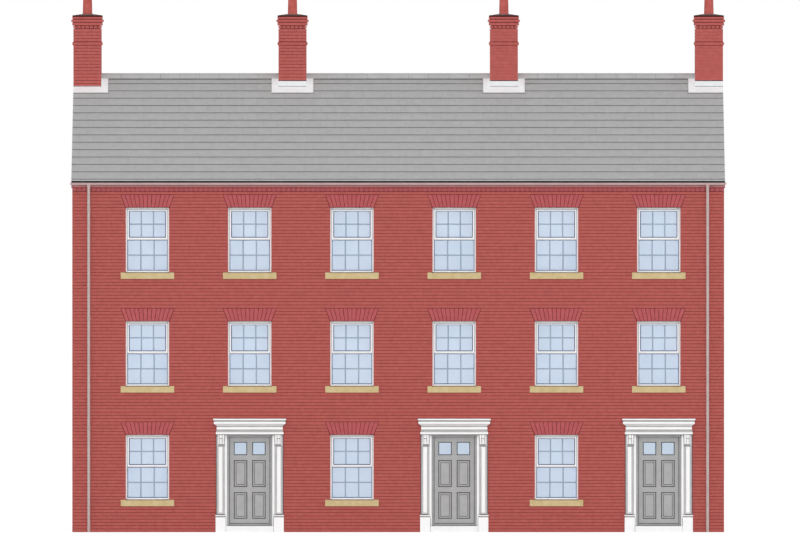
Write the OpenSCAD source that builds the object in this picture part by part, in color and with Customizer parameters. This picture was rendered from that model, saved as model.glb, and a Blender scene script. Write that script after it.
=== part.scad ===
// Terraced row of three brick houses, three storeys high, under one pitched roof.
// Millimetres. X runs along the row, the street front faces -Y and Z points up.
// The origin is on the ground at the centre of the plan.

/* [Row and walls] */
// Left end of the row to the middle of the first window column
left_margin = 1730; // [1500:10:2000]
// Distance between neighbouring window and door columns
bay_pitch = 2362.5; // [2200:12.5:2700]
// Middle of the last column to the right end of the row
right_margin = 1502.5; // [1300:2.5:1900]
// Depth of the houses over the front and rear wall faces
row_d = 8200; // [7000:100:10000]
// Thickness of the front, rear and end walls
wall_t = 300; // [250:5:360]
// Thickness of the party walls between the houses
party_t = 300; // [200:5:360]
// Height of one brick course with its joint
course_h = 75; // [65:1:80]

/* [Storeys] */
// Ground floor level above the ground
ground_floor_z = 150; // [100:10:300]
// Height from one floor level to the next
storey_h = 2625; // [2550:25:3000]
// Thickness of the upper floors with their ceilings
floor_t = 225; // [150:5:300]

/* [Windows] */
// Width of a window opening
window_w = 1010; // [900:10:1150]
// Height of a window opening
window_h = 1500; // [1350:10:1500]
// Floor level to the bottom of a window opening
sill_rise = 600; // [550:10:620]
// Depth of the brick reveal in front of a window frame
window_reveal = 102.5; // [60:2.5:110]
// Thickness of the frame's jambs, head and sill at the brickwork
jamb_t = 20; // [15:1:28]
// Width of the frame's outside lining
lining_w = 44.5; // [40:0.5:60]
// Thickness of the frame's outside lining
lining_t = 20; // [12:1:30]
// Thickness of a sash
sash_t = 40; // [34:1:45]
// Width of the parting slip between the two sashes
parting_t = 8; // [6:1:12]
// Width of the upper sash's stiles and top rail that shows inside the lining
upper_stile_w = 42; // [30:1:60]
// Width of the lower sash's stiles
lower_stile_w = 27; // [24:1:45]
// Height of the lower sash's bottom rail
bottom_rail_h = 32; // [25:1:90]
// Height of the meeting rails
meeting_rail_h = 48; // [35:1:60]
// Middle of the meeting rails above the bottom of the opening
meeting_z = 779.5; // [700:0.5:800]
// How far the two meeting rails overlap in height
meeting_lap = 25; // [10:1:35]
// Thickness of the window glass
glass_t = 4; // [3:1:8]
// Height of a window sill
sill_h = 150; // [100:5:150]
// How far a sill runs past the opening at each end
sill_lap = 112.5; // [50:2.5:150]
// How far a sill stands out from the wall
sill_proj = 50; // [30:5:90]
// How far a sill is built into the wall
sill_bed = 200; // [150:5:240]
// Height of the flat arch over a window
arch_h = 300; // [225:5:300]
// How much wider the arch is at its top than the opening, at each end
arch_splay = 112.5; // [60:2.5:150]
// Thickness of the arch from the wall face inwards
arch_t = 102.5; // [90:2.5:120]

/* [Doors] */
// Width of a doorway in the wall
doorway_w = 1050; // [1000:10:1150]
// Height of a doorway from the ground to its head
doorway_h = 2250; // [2200:10:2300]
// Depth from the wall face to the door frame
door_reveal = 60; // [30:5:100]
// Depth of the door frame
door_frame_d = 92; // [85:1:120]
// Width of a door jamb behind the rebate
door_jamb_w = 45.5; // [40:0.5:60]
// Height of the door head behind the rebate
door_head_h = 33; // [28:1:60]
// How far the stop stands in from the jamb and the head
door_stop = 17; // [13:0.5:25]
// Height of the threshold
threshold_h = 45; // [30:1:60]
// Thickness of a door leaf
leaf_t = 44; // [40:1:50]
// Gap between the leaf and its frame
leaf_gap = 7; // [6:0.5:9]
// Gap between the leaf's outer face and the stop
stop_gap = 5; // [5:0.5:8]
// Width of the visible edge stiles of a leaf
leaf_stile_w = 100; // [80:1:110]
// Width of the middle stile of a leaf
leaf_muntin_w = 125; // [90:1:140]
// Visible height of a leaf's top rail
leaf_top_rail_h = 124; // [90:1:140]
// Height of the panes
pane_h = 290; // [200:5:400]
// Height of the rail below the panes
pane_rail_h = 133; // [90:1:160]
// Height of the upper panels
upper_panel_h = 602; // [500:1:650]
// Height of the rail between the panels
lock_rail_h = 138; // [100:1:180]
// Height of the leaf's bottom rail
leaf_bottom_rail_h = 116; // [90:1:200]
// Depth of the sunk border round a panel's raised field
panel_sink = 12; // [6:1:16]
// Width of the sunk border round a panel's raised field
panel_border = 46; // [25:1:60]
// How far a raised field stays below the face of the leaf
field_drop = 4; // [2:1:6]
// Thickness of the door glass
door_glass_t = 6; // [4:1:10]
// Height of a hinge
hinge_h = 102; // [75:1:120]
// Width of a hinge's plates
hinge_plate_w = 36; // [28:1:38]
// Thickness of a hinge's plates
hinge_plate_t = 2.5; // [1.5:0.1:2.8]
// Outer radius of the hinge knuckles
knuckle_r = 7; // [6:0.1:8]
// Radius of the hinge pin
pin_r = 4; // [3:0.1:4.5]
// Radial clearance round the hinge pin
pin_clear = 0.08; // [0.03:0.01:0.1]
// Clearance between the knuckles
knuckle_gap = 0.3; // [0.2:0.1:0.6]
// Top and bottom of the leaf to the nearest hinge
hinge_inset = 150; // [100:5:250]

/* [Door surrounds] */
// How far a step runs past the doorway at each side
step_lap = 22; // [5:1:60]
// How far a step stands out from the wall
step_proj = 300; // [150:10:400]
// Width of the board beside the doorway, behind the pilaster
board_w = 245; // [225:1:260]
// Thickness of that board
board_t = 25; // [15:1:35]
// Gap between the architrave and the pilaster
pilaster_gap = 57; // [30:1:80]
// Width of the pilaster
pilaster_w = 88; // [70:1:100]
// How far the pilaster stands out from the wall
pilaster_proj = 55; // [45:1:70]
// Width of the architrave beside the doorway
architrave_w = 48; // [35:1:60]
// How far the architrave stands out from the wall
architrave_proj = 45; // [35:1:60]
// Width of a plinth block
plinth_w = 241; // [235:1:270]
// Height of a plinth block
plinth_h = 409; // [300:1:500]
// Height of the cap of a plinth block
plinth_cap_h = 50; // [30:1:80]
// How far a plinth block stands out from the wall
plinth_proj = 80; // [75:1:110]
// How far the cap stands out over its plinth block
plinth_cap_out = 5; // [2:1:12]
// Height of a console
console_h = 252; // [200:1:300]
// Width of a console
console_w = 153; // [120:1:160]
// How far a console stands out from the wall at its top
console_proj = 120; // [90:1:125]
// How far a console stands out from the wall at its foot
console_foot = 70; // [58:1:85]
// Height of the straight foot of a console
console_foot_h = 63; // [40:1:80]
// Height of the straight head of a console
console_head_h = 50; // [30:1:70]
// Height of the bottom moulding of the entablature
bed_h = 56; // [40:1:70]
// How far that moulding spreads past the frieze
bed_out = 18; // [8:1:25]
// Height of the frieze
frieze_h = 116; // [80:1:150]
// How far the frieze stays back from the edge of the board at each end
frieze_inset = 5; // [0:1:15]
// How far the frieze stands out from the wall
frieze_proj = 125; // [110:1:140]
// Height of the curved part of the cornice
cyma_h = 85; // [60:1:110]
// How far the curved part spreads
cyma_out = 50; // [30:1:70]
// Height of the corona over it
corona_h = 70; // [40:1:90]
// How far the corona spreads
corona_out = 15; // [8:1:25]
// Height of the top fillet of the cornice
fillet_h = 55; // [30:1:70]
// How far the top fillet spreads
fillet_out = 14; // [8:1:25]

/* [Roof] */
// Slope of the roof in degrees
roof_pitch = 30; // [25:1:35]
// Thickness of the roof from its underside to the bed of the tiles
roof_t = 100; // [90:1:140]
// Clearance between the roof and what lies under it or over it
roof_gap = 0.3; // [0.2:0.1:0.6]
// How far the two top brick courses stand out from the wall
eaves_proj = 27.5; // [15:0.5:40]
// How far the roof runs past those courses at the eaves
eaves_over = 22.5; // [10:0.5:60]
// How far the roof runs past the end walls
verge_over = 27.5; // [10:0.5:60]
// Distance from one dentil to the next
dentil_pitch = 112.5; // [100:0.5:150]
// Width of a dentil
dentil_w = 72; // [50:1:80]
// Radius of the ridge tiles
ridge_r = 150; // [120:1:160]
// Top of the ridge tiles above the apex of the tile bed
ridge_rise = 70; // [60:1:90]
// Width of the gutters
gutter_w = 115; // [100:1:130]
// Depth of the gutters
gutter_h = 75; // [68:1:80]
// Thickness of the gutters
gutter_t = 4; // [3:0.5:6]
// Top edge of the gutters above the underside of the eaves
gutter_rise = 71; // [60:1:80]
// How far the gutters run past the roof at each end
gutter_over = 25; // [5:1:40]
// Number of lengths that each gutter is made of
gutter_count = 7; // [5:1:9]
// Gap between two lengths of gutter
gutter_joint = 5; // [3:1:8]
// Outer diameter of the downpipes
pipe_d = 68; // [60:1:80]
// Wall thickness of the downpipes
pipe_t = 3; // [2:0.5:5]
// End of the row to the middle of the downpipe
pipe_inset = 375.5; // [300:0.5:500]
// Thickness of a downpipe bracket's collar with its clearance
collar_t = 4; // [3:0.5:8]
// Clearance between a bracket's collar and its pipe
collar_gap = 0.3; // [0.1:0.1:0.8]
// Width of a bracket's lug
lug_w = 34; // [20:1:50]
// Height of a downpipe bracket
bracket_h = 30; // [20:1:60]
// Height of the lowest downpipe bracket
bracket_z = 600; // [300:50:900]
// Number of brackets on each downpipe
bracket_count = 5; // [3:1:7]

/* [Chimneys] */
// Width of a stack along the row
stack_w = 650; // [550:5:700]
// Depth of a stack across the ridge
stack_d = 890; // [700:5:1100]
// Bottom of a stack below the roof's underside at its faces
stack_bed = 100; // [50:10:200]
// Top of the chimney caps above the eaves
cap_top_rise = 3900; // [3600:25:4200]
// Top of the string course below the top of the cap
string_drop = 600; // [500:25:700]
// How far the string course stands out
string_proj = 23; // [15:1:40]
// How far each course of the cap steps out
cap_step = 24; // [15:1:35]
// Height of the mortar flaunching over the cap
flaunch_h = 25; // [15:1:60]
// How far the foot of the flaunching stays back from the edge of the cap
flaunch_inset = 2; // [1:1:20]
// Width of the flaunching's level top beside a pot
flaunch_lip = 15; // [5:1:30]
// Distance between the middles of the two pots on a stack
pot_pitch = 400; // [300:10:500]
// Height of a pot above the flaunching
pot_h = 450; // [300:10:600]
// Outer diameter of a pot at its foot
pot_foot_d = 215; // [190:1:240]
// Outer diameter of a pot below its rim
pot_neck_d = 183; // [160:1:188]
// Outer diameter of a pot's rim
pot_rim_d = 213; // [195:1:240]
// Height of a pot's rim
pot_rim_h = 45; // [30:1:70]
// Height of the rounding at the top and bottom of a pot's rim
pot_round = 11; // [5:1:15]
// Diameter of the hole through a pot
pot_bore_d = 145; // [120:1:150]
// Height of the lead upstands against a stack
lead_up = 134; // [100:1:160]
// Width of the lead beside a stack
lead_side_w = 165; // [120:5:220]
// Length of the lead apron in front of a stack, measured level
lead_apron = 252; // [150:1:300]
// Thickness of the lead upstands
lead_t = 5; // [3:1:8]
// Height of the lead over the bed of the tiles
lead_rise = 30; // [26:1:40]

/* [Hidden] */
eps = 0.01;
// A tool that cuts right through reaches this far past both faces
past = 10;
round_fn = 64;

houses = 3;
storeys = 3;
columns = 2 * houses;
row_l = left_margin + (columns - 1) * bay_pitch + right_margin;
half_l = row_l / 2;
half_d = row_d / 2;
house_w = (row_l - 2 * wall_t - (houses - 1) * party_t) / houses;
eaves_z = ground_floor_z + storeys * storey_h;
slope = tan(roof_pitch);

// Middle of a column, level of a floor, bottom of a window opening and its head
function column_x(i) = -half_l + left_margin + i * bay_pitch;
function floor_z(k) = ground_floor_z + k * storey_h;
function sill_z(k) = floor_z(k) + sill_rise;
function head_z(k) = sill_z(k) + window_h;
// Left side of a house's rooms
function house_x(n) = -half_l + wall_t + n * (house_w + party_t);
// Doors stand in every second column of the ground floor
function is_door(k, i) = k == 0 && i % 2 == 1;
door_columns = [for (i = [0 : columns - 1]) if (is_door(0, i)) i];
front_windows = [for (k = [0 : storeys - 1], i = [0 : columns - 1]) if (!is_door(k, i)) [column_x(i), sill_z(k)]];
rear_windows = [for (k = [0 : storeys - 1], i = [0 : columns - 1]) [-column_x(i), sill_z(k)]];

// Heights of the roof's underside and tile bed at a distance from the ridge line
function underside_z(y) = eaves_z + (half_d + eaves_proj - abs(y)) * slope;
roof_rise = roof_t / cos(roof_pitch);
function bed_z(y) = underside_z(y) + roof_rise;
// Top of the walls under the roof, and underside of what lies on the tiles
function wall_top_z(y) = underside_z(y) - roof_gap;
function on_tiles_z(y) = bed_z(y) + roof_gap;
roof_edge = half_d + eaves_proj + eaves_over;
roof_half_l = half_l + verge_over;

// Sash window, measured from the middle of the opening, its bottom and the wall face
sash_w = window_w - 2 * jamb_t;
frame_d = lining_t + 2 * sash_t + parting_t;
upper_y = window_reveal + lining_t;
lower_y = upper_y + sash_t + parting_t;
upper_glass_w = window_w - 2 * lining_w - 2 * upper_stile_w;
upper_glass_bottom = meeting_z + meeting_rail_h - meeting_lap / 2;
upper_glass_top = window_h - lining_w - upper_stile_w;
lower_glass_w = sash_w - 2 * lower_stile_w;
lower_glass_bottom = jamb_t + bottom_rail_h;
lower_glass_top = meeting_z - meeting_rail_h + meeting_lap / 2;

// Door, measured from the middle of the doorway, the ground and the wall face
frame_back = door_reveal + door_frame_d;
rebate_half_w = doorway_w / 2 - door_jamb_w;
rebate_top = doorway_h - door_head_h;
leaf_half_w = rebate_half_w - leaf_gap;
leaf_bottom = ground_floor_z + threshold_h + stop_gap;
leaf_top = rebate_top - leaf_gap;
leaf_face = frame_back - leaf_t;
stop_back = leaf_face - stop_gap;
visible_half_w = rebate_half_w - door_stop;
panel_w = visible_half_w - leaf_stile_w - leaf_muntin_w / 2;
panel_x = leaf_muntin_w / 2 + panel_w / 2;
pane_top = rebate_top - door_stop - leaf_top_rail_h;
upper_panel_top = pane_top - pane_h - pane_rail_h;
lower_panel_top = upper_panel_top - upper_panel_h - lock_rail_h;
lower_panel_h = lower_panel_top - leaf_bottom - leaf_bottom_rail_h;
step_half_w = doorway_w / 2 + step_lap;
architrave_half_w = doorway_w / 2 + architrave_w;
pilaster_in = architrave_half_w + pilaster_gap;
board_half_w = doorway_w / 2 + board_w;
frieze_half_w = board_half_w - frieze_inset;
pin_x = leaf_half_w + leaf_gap / 2;
pin_y = frame_back + knuckle_r + knuckle_gap;
knuckle_h = hinge_h / 3;
hinge_levels = [
    leaf_bottom + hinge_inset,
    (leaf_bottom + leaf_top - hinge_h) / 2,
    leaf_top - hinge_inset - hinge_h
];

// Chimneys, middles of the stacks along the row and heights
stack_half_w = stack_w / 2;
party_x = house_w / 2 + party_t / 2;
stack_xs = [stack_half_w - roof_half_l, -party_x, party_x, roof_half_l - stack_half_w];
stack_bottom = floor(underside_z(stack_d / 2)) - stack_bed;
cap_top = eaves_z + cap_top_rise;
cap_courses = 3;
cap_bottom = cap_top - cap_courses * course_h;
string_top = cap_top - string_drop;
string_bottom = string_top - course_h;

gutter_y = roof_edge + gutter_w / 2;
gutter_top = eaves_z + gutter_rise;
gutter_axis_z = gutter_top - gutter_h + gutter_w / 2;
gutter_half_l = roof_half_l + gutter_over;
pipe_xs = [pipe_inset - half_l, half_l - pipe_inset];

// Box given by its low and high corners
module span(low, high) {
    translate(low)
        cube(high - low);
}

// Profile drawn in Y and Z, run along X
module along_x(x0, x1) {
    translate([x0, 0, 0])
        rotate([90, 0, 90])
            linear_extrude(x1 - x0)
                children();
}

// Children drawn against the front face of the wall, with +Y into the wall
module on_front() {
    translate([0, -half_d, 0])
        children();
}

module on_rear() {
    rotate([0, 0, 180])
        on_front()
            children();
}

module on_both_faces() {
    on_front()
        children();
    on_rear()
        children();
}

module at_windows(places) {
    for (place = places)
        translate([place.x, 0, place.y])
            children();
}

module at_every_window() {
    on_front()
        at_windows(front_windows)
            children();
    on_rear()
        at_windows(rear_windows)
            children();
}

module at_doors() {
    on_front()
        for (i = door_columns)
            translate([column_x(i), 0, 0])
                children();
}

module mirrored_x() {
    children();
    mirror([1, 0, 0])
        children();
}

// Brick piers between the openings of one wall. side is 1 on the front, -1 on the rear.
module wall_piers(has_doors, side) {
    for (k = [0 : storeys - 1], i = [0 : columns]) {
        door_left = has_doors && is_door(k, i - 1);
        door_right = has_doors && is_door(k, i) && i < columns;
        left = i == 0 ? -half_l : column_x(i - 1) + (door_left ? doorway_w : window_w) / 2;
        right = i == columns ? half_l : column_x(i) - (door_right ? doorway_w : window_w) / 2;
        low = side > 0 ? left : -right;
        high = side > 0 ? right : -left;
        span([low, 0, sill_z(k)], [high, wall_t, head_z(k)]);
    }
}

// Shape of a flat arch seen from the front, over the middle of its opening
module arch_outline() {
    half = window_w / 2;
    polygon([[-half, 0], [half, 0], [half + arch_splay, arch_h], [-half - arch_splay, arch_h]]);
}

module arch_block(depth) {
    translate([0, depth, window_h])
        rotate([90, 0, 0])
            linear_extrude(depth)
                arch_outline();
}

module sill_block(front, back) {
    half = window_w / 2 + sill_lap;
    span([-half, -front, -sill_h], [half, back, 0]);
}

// Beds of the arches and sills, cut out of the bands
module arch_and_sill_beds(places) {
    at_windows(places) {
        translate([0, -past, 0])
            arch_block(arch_t + past);
        sill_block(past, sill_bed);
    }
}

// Doorways with the height given, between two depths
module doorways(y0, low, y1, high) {
    for (i = door_columns)
        span([column_x(i) - doorway_w / 2, y0, low], [column_x(i) + doorway_w / 2, y1, high]);
}

// Bands of wall below, between and above the rows of windows. A doorway that is lower than the
// heads of the windows has wall over it, and a higher one cuts into the band.
module wall_bands(has_doors, places) {
    difference() {
        union() {
            span([-half_l, 0, 0], [half_l, wall_t, sill_z(0)]);
            for (k = [0 : storeys - 2])
                span([-half_l, 0, head_z(k)], [half_l, wall_t, sill_z(k + 1)]);
            if (has_doors && doorway_h < head_z(0))
                doorways(0, doorway_h, wall_t, head_z(0) + eps);
            along_x(-half_l, half_l)
                polygon([
                    [0, head_z(storeys - 1)],
                    [wall_t, head_z(storeys - 1)],
                    [wall_t, wall_top_z(half_d - wall_t)],
                    [0, wall_top_z(half_d)]
                ]);
        }
        arch_and_sill_beds(places);
        if (has_doors)
            doorways(-past, -past, wall_t + past, doorway_h);
    }
}

module front_wall_piers() {
    color("#b45f5a")
        on_front()
            wall_piers(true, 1);
}

module front_wall_bands() {
    color("#b45f5a")
        on_front()
            wall_bands(true, front_windows);
}

module rear_wall_piers() {
    color("#b45f5a")
        on_rear()
            wall_piers(false, -1);
}

module rear_wall_bands() {
    color("#b45f5a")
        on_rear()
            wall_bands(false, rear_windows);
}

// Cross wall up to the roof, with a level seat for the chimney stack
module cross_wall(x0, x1) {
    inner = half_d - wall_t;
    seat = stack_d / 2;
    along_x(x0, x1)
        polygon([
            [-inner, 0], [inner, 0], [inner, wall_top_z(inner)],
            [seat, wall_top_z(seat)], [seat, stack_bottom],
            [-seat, stack_bottom], [-seat, wall_top_z(seat)],
            [-inner, wall_top_z(inner)]
        ]);
}

module end_walls() {
    color("#b45f5a") {
        cross_wall(-half_l, wall_t - half_l);
        cross_wall(half_l - wall_t, half_l);
    }
}

module party_walls() {
    color("#b98a80")
        for (n = [0 : houses - 2])
            cross_wall(house_x(n) + house_w, house_x(n + 1));
}

// One floor plate in each house
module floor_plates(low, high) {
    inner = half_d - wall_t;
    for (n = [0 : houses - 1])
        span([house_x(n), -inner, low], [house_x(n) + house_w, inner, high]);
}

module ground_floor_slabs() {
    color("#b9b6ae")
        floor_plates(0, ground_floor_z);
}

module first_floor_decks() {
    color("#c9a878")
        floor_plates(floor_z(1) - floor_t, floor_z(1));
}

module second_floor_decks() {
    color("#c9a878")
        floor_plates(floor_z(2) - floor_t, floor_z(2));
}

module loft_floors() {
    color("#c9a878")
        floor_plates(eaves_z - floor_t, eaves_z);
}

module window_arches() {
    color("#b9595e")
        at_every_window()
            arch_block(arch_t);
}

module window_sills() {
    color("#d4bc8e")
        at_every_window()
            sill_block(sill_proj, sill_bed);
}

// Rectangular ring: outer width and height from the bottom, hole given by half width and levels
module ring(y0, y1, half, low, high, hole_half, hole_low, hole_high) {
    difference() {
        span([-half, y0, low], [half, y1, high]);
        span([-hole_half, y0 - past, hole_low], [hole_half, y1 + past, hole_high]);
    }
}

module window_frames() {
    half = window_w / 2;
    color("#f4f4f2")
        at_every_window() {
            ring(window_reveal, upper_y, half, 0, window_h,
                 half - lining_w, jamb_t, window_h - lining_w);
            ring(upper_y - eps, window_reveal + frame_d, half, 0, window_h,
                 sash_w / 2, jamb_t, window_h - jamb_t);
        }
}

module upper_sashes() {
    color("#f8f8f6")
        at_every_window()
            ring(upper_y, upper_y + sash_t, sash_w / 2, upper_glass_bottom - meeting_rail_h,
                 window_h - jamb_t, upper_glass_w / 2, upper_glass_bottom, upper_glass_top);
}

module lower_sashes() {
    color("#f8f8f6")
        at_every_window()
            ring(lower_y, lower_y + sash_t, sash_w / 2, jamb_t, lower_glass_top + meeting_rail_h,
                 lower_glass_w / 2, lower_glass_bottom, lower_glass_top);
}

module window_glass() {
    middle = (sash_t - glass_t) / 2;
    color("#cbdcee")
        at_every_window() {
            span([-upper_glass_w / 2, upper_y + middle, upper_glass_bottom],
                 [upper_glass_w / 2, upper_y + middle + glass_t, upper_glass_top]);
            span([-lower_glass_w / 2, lower_y + middle, lower_glass_bottom],
                 [lower_glass_w / 2, lower_y + middle + glass_t, lower_glass_top]);
        }
}

module door_jambs() {
    color("#9a9a9a")
        at_doors()
            mirrored_x() {
                span([rebate_half_w, door_reveal, ground_floor_z], [doorway_w / 2, frame_back, rebate_top]);
                span([visible_half_w, door_reveal, ground_floor_z], [rebate_half_w + eps, stop_back, rebate_top]);
            }
}

module door_heads() {
    color("#9a9a9a")
        at_doors() {
            span([-doorway_w / 2, door_reveal, rebate_top], [doorway_w / 2, frame_back, doorway_h]);
            span([-visible_half_w, door_reveal, rebate_top - door_stop],
                 [visible_half_w, stop_back, rebate_top + eps]);
        }
}

module door_thresholds() {
    color("#8f8f8f")
        at_doors()
            span([-visible_half_w, door_reveal, ground_floor_z],
                 [visible_half_w, frame_back, ground_floor_z + threshold_h]);
}

// Stone step that runs back under the door frame to the room
module door_steps() {
    color("#f2f2f0")
        at_doors() {
            span([-step_half_w, -step_proj, 0], [step_half_w, 0, ground_floor_z]);
            span([-doorway_w / 2, -eps, 0], [doorway_w / 2, wall_t, ground_floor_z]);
        }
}

// Plate and knuckles of one half of a hinge. side is 1 on the frame and -1 on the leaf.
module hinge_half(side, knuckles) {
    inner = leaf_gap / 2 - hinge_plate_t;
    low = side > 0 ? inner : -leaf_gap / 2;
    high = side > 0 ? leaf_gap / 2 : -inner;
    clear = knuckle_r + knuckle_gap;
    span([low, -hinge_plate_w - clear, 0], [high, -clear, hinge_h]);
    for (n = knuckles) {
        bottom = n * knuckle_h + (side > 0 ? 0 : knuckle_gap);
        top = (n + 1) * knuckle_h - (side > 0 ? 0 : knuckle_gap);
        span([low, -clear - eps, bottom], [high, 0, top]);
        translate([0, 0, bottom])
            cylinder(r = knuckle_r, h = top - bottom, $fn = round_fn);
    }
}

module frame_hinges() {
    color("#8a7a55")
        at_doors()
            for (z = hinge_levels)
                translate([pin_x, pin_y, z]) {
                    hinge_half(1, [0, 2]);
                    cylinder(r = pin_r, h = hinge_h, $fn = round_fn);
                }
}

module leaf_hinges(column) {
    color("#8a7a55")
        on_front()
            translate([column_x(column), 0, 0])
                for (z = hinge_levels)
                    translate([pin_x, pin_y, z])
                        difference() {
                            hinge_half(-1, [1]);
                            translate([0, 0, -past])
                                cylinder(r = pin_r + pin_clear, h = hinge_h + 2 * past, $fn = round_fn);
                        }
}

// Sunk panel with a raised field, cut into both faces of the leaf
module panel_cut(x, top, height) {
    half = panel_w / 2;
    field = half - panel_border;
    for (face = [0, 1]) {
        deep = face == 0 ? leaf_face : frame_back - panel_sink;
        field_low = face == 0 ? leaf_face + field_drop : frame_back - panel_sink - past;
        field_high = face == 0 ? leaf_face + panel_sink + past : frame_back - field_drop;
        difference() {
            span([x - half, face == 0 ? deep - past : deep, top - height],
                 [x + half, face == 0 ? deep + panel_sink : frame_back + past, top]);
            span([x - field, field_low, top - height + panel_border],
                 [x + field, field_high, top - panel_border]);
        }
    }
}

module door_leaf(column) {
    color("#aeaeae")
        on_front()
            translate([column_x(column), 0, 0])
                difference() {
                    span([-leaf_half_w, leaf_face, leaf_bottom], [leaf_half_w, frame_back, leaf_top]);
                    for (x = [-panel_x, panel_x]) {
                        span([x - panel_w / 2, leaf_face - past, pane_top - pane_h],
                             [x + panel_w / 2, frame_back + past, pane_top]);
                        panel_cut(x, upper_panel_top, upper_panel_h);
                        panel_cut(x, lower_panel_top, lower_panel_h);
                    }
                }
}

module door_glass(column) {
    middle = leaf_face + (leaf_t - door_glass_t) / 2;
    color("#cbdcee")
        on_front()
            translate([column_x(column), 0, 0])
                for (x = [-panel_x, panel_x])
                    span([x - panel_w / 2, middle, pane_top - pane_h],
                         [x + panel_w / 2, middle + door_glass_t, pane_top]);
}

module door_pilasters() {
    top = doorway_h;
    color("#f4f4f4")
        at_doors()
            mirrored_x() {
                span([doorway_w / 2, -board_t, plinth_h], [board_half_w, 0, top]);
                span([doorway_w / 2, -architrave_proj, plinth_h],
                     [architrave_half_w, 0, top]);
                span([pilaster_in, -pilaster_proj, plinth_h],
                     [pilaster_in + pilaster_w, 0, top - console_h]);
            }
}

module door_plinths() {
    outer = step_half_w + plinth_w;
    color("#f6f6f6")
        at_doors()
            mirrored_x() {
                span([step_half_w, -plinth_proj, 0], [outer, 0, plinth_h]);
                span([step_half_w, -plinth_proj - plinth_cap_out, plinth_h - plinth_cap_h],
                     [outer + plinth_cap_out, 0, plinth_h]);
            }
}

// Bracket under the entablature, deeper at its top
module door_consoles() {
    low = doorway_h - console_h;
    color("#f6f6f6")
        at_doors()
            mirrored_x()
                along_x(architrave_half_w, architrave_half_w + console_w)
                    polygon([
                        [-board_t, low],
                        [-console_foot, low],
                        [-console_foot, low + console_foot_h],
                        [-console_proj, doorway_h - console_head_h],
                        [-console_proj, doorway_h],
                        [-board_t, doorway_h]
                    ]);
}

// One course of the entablature, the same step out at the front and at both ends
module entablature_course(low, high, out) {
    half = frieze_half_w + out;
    span([-half, -frieze_proj - out, low], [half, 0, high]);
}

module door_entablatures() {
    frieze_low = doorway_h + bed_h;
    cyma_low = frieze_low + frieze_h;
    corona_low = cyma_low + cyma_h;
    fillet_low = corona_low + corona_h;
    color("#fbfbfb")
        at_doors() {
            entablature_course(doorway_h, frieze_low, bed_out);
            entablature_course(frieze_low - eps, cyma_low + eps, 0);
            hull() {
                entablature_course(cyma_low, cyma_low + eps, 0);
                entablature_course(corona_low - eps, corona_low, cyma_out);
            }
            entablature_course(corona_low - eps, fillet_low, cyma_out + corona_out);
            entablature_course(fillet_low - eps, fillet_low + fillet_h,
                               cyma_out + corona_out + fillet_out);
        }
}

// Two brick courses that oversail the wall, the lower one cut into dentils
module eaves_courses() {
    length = 2 * (half_l + verge_over);
    count = floor(length / dentil_pitch);
    start = -(count - 1) * dentil_pitch / 2;
    plain_z = eaves_z - course_h;
    color("#b45f5a")
        on_both_faces() {
            along_x(-length / 2, length / 2)
                polygon([
                    [0, plain_z], [0, wall_top_z(half_d)],
                    [-eaves_proj, wall_top_z(half_d + eaves_proj)], [-eaves_proj, plain_z]
                ]);
            for (n = [0 : count - 1])
                translate([start + n * dentil_pitch, 0, 0])
                    span([-dentil_w / 2, -eaves_proj, plain_z - course_h], [dentil_w / 2, 0, plain_z + eps]);
        }
}

// Holes where the stacks pass through the roof
module stack_holes() {
    for (x = stack_xs)
        span([x - stack_half_w - (x < -party_x ? past : 0), -stack_d / 2, 0],
             [x + stack_half_w + (x > party_x ? past : 0), stack_d / 2, cap_top]);
}

module roof_slope() {
    difference() {
        along_x(-roof_half_l, roof_half_l)
            polygon([
                [-roof_edge, underside_z(roof_edge)], [-roof_edge, bed_z(roof_edge)],
                [0, bed_z(0)], [0, underside_z(0)]
            ]);
        stack_holes();
    }
}

module front_roof_slope() {
    color("#adadad")
        roof_slope();
}

module rear_roof_slope() {
    color("#adadad")
        mirror([0, 1, 0])
            roof_slope();
}

// Half-round ridge between the stacks, shaped to the roof below it
module ridge_tiles() {
    axis_z = bed_z(0) + ridge_rise - ridge_r;
    color("#a2a2a2")
        for (n = [0 : houses - 1])
            along_x(stack_xs[n] + stack_half_w, stack_xs[n + 1] - stack_half_w)
                difference() {
                    translate([0, axis_z])
                        circle(r = ridge_r, $fn = round_fn);
                    polygon([
                        [-2 * ridge_r, on_tiles_z(2 * ridge_r)], [0, on_tiles_z(0)],
                        [2 * ridge_r, on_tiles_z(2 * ridge_r)],
                        [2 * ridge_r, axis_z - 2 * ridge_r], [-2 * ridge_r, axis_z - 2 * ridge_r]
                    ]);
                }
}

module gutter_profile(inset) {
    r = gutter_w / 2 - inset;
    translate([-gutter_y, gutter_axis_z]) {
        circle(r = r, $fn = round_fn);
        translate([-r, 0])
            square([2 * r, gutter_top - gutter_axis_z]);
    }
}

// Deep half-round gutter in lengths, with closed ends and an outlet over each downpipe
module gutter_run() {
    pitch = (2 * gutter_half_l + gutter_joint) / gutter_count;
    for (n = [0 : gutter_count - 1]) {
        low = n * pitch - gutter_half_l;
        high = low + pitch - gutter_joint;
        difference() {
            along_x(low, high)
                intersection() {
                    gutter_profile(0);
                    translate([-gutter_y - gutter_w, gutter_axis_z - gutter_w])
                        square([2 * gutter_w, gutter_top - gutter_axis_z + gutter_w]);
                }
            along_x(n == 0 ? low + gutter_t : low - past,
                    n == gutter_count - 1 ? high - gutter_t : high + past)
                union() {
                    gutter_profile(gutter_t);
                    translate([-gutter_y - gutter_w / 2 + gutter_t, gutter_top - eps])
                        square([gutter_w - 2 * gutter_t, past]);
                }
            for (x = pipe_xs)
                translate([x, -gutter_y, gutter_axis_z - gutter_w])
                    cylinder(d = pipe_d - 2 * pipe_t, h = gutter_w, $fn = round_fn);
        }
    }
}

module gutters() {
    color("#cfc6c2") {
        gutter_run();
        mirror([0, 1, 0])
            gutter_run();
    }
}

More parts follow.
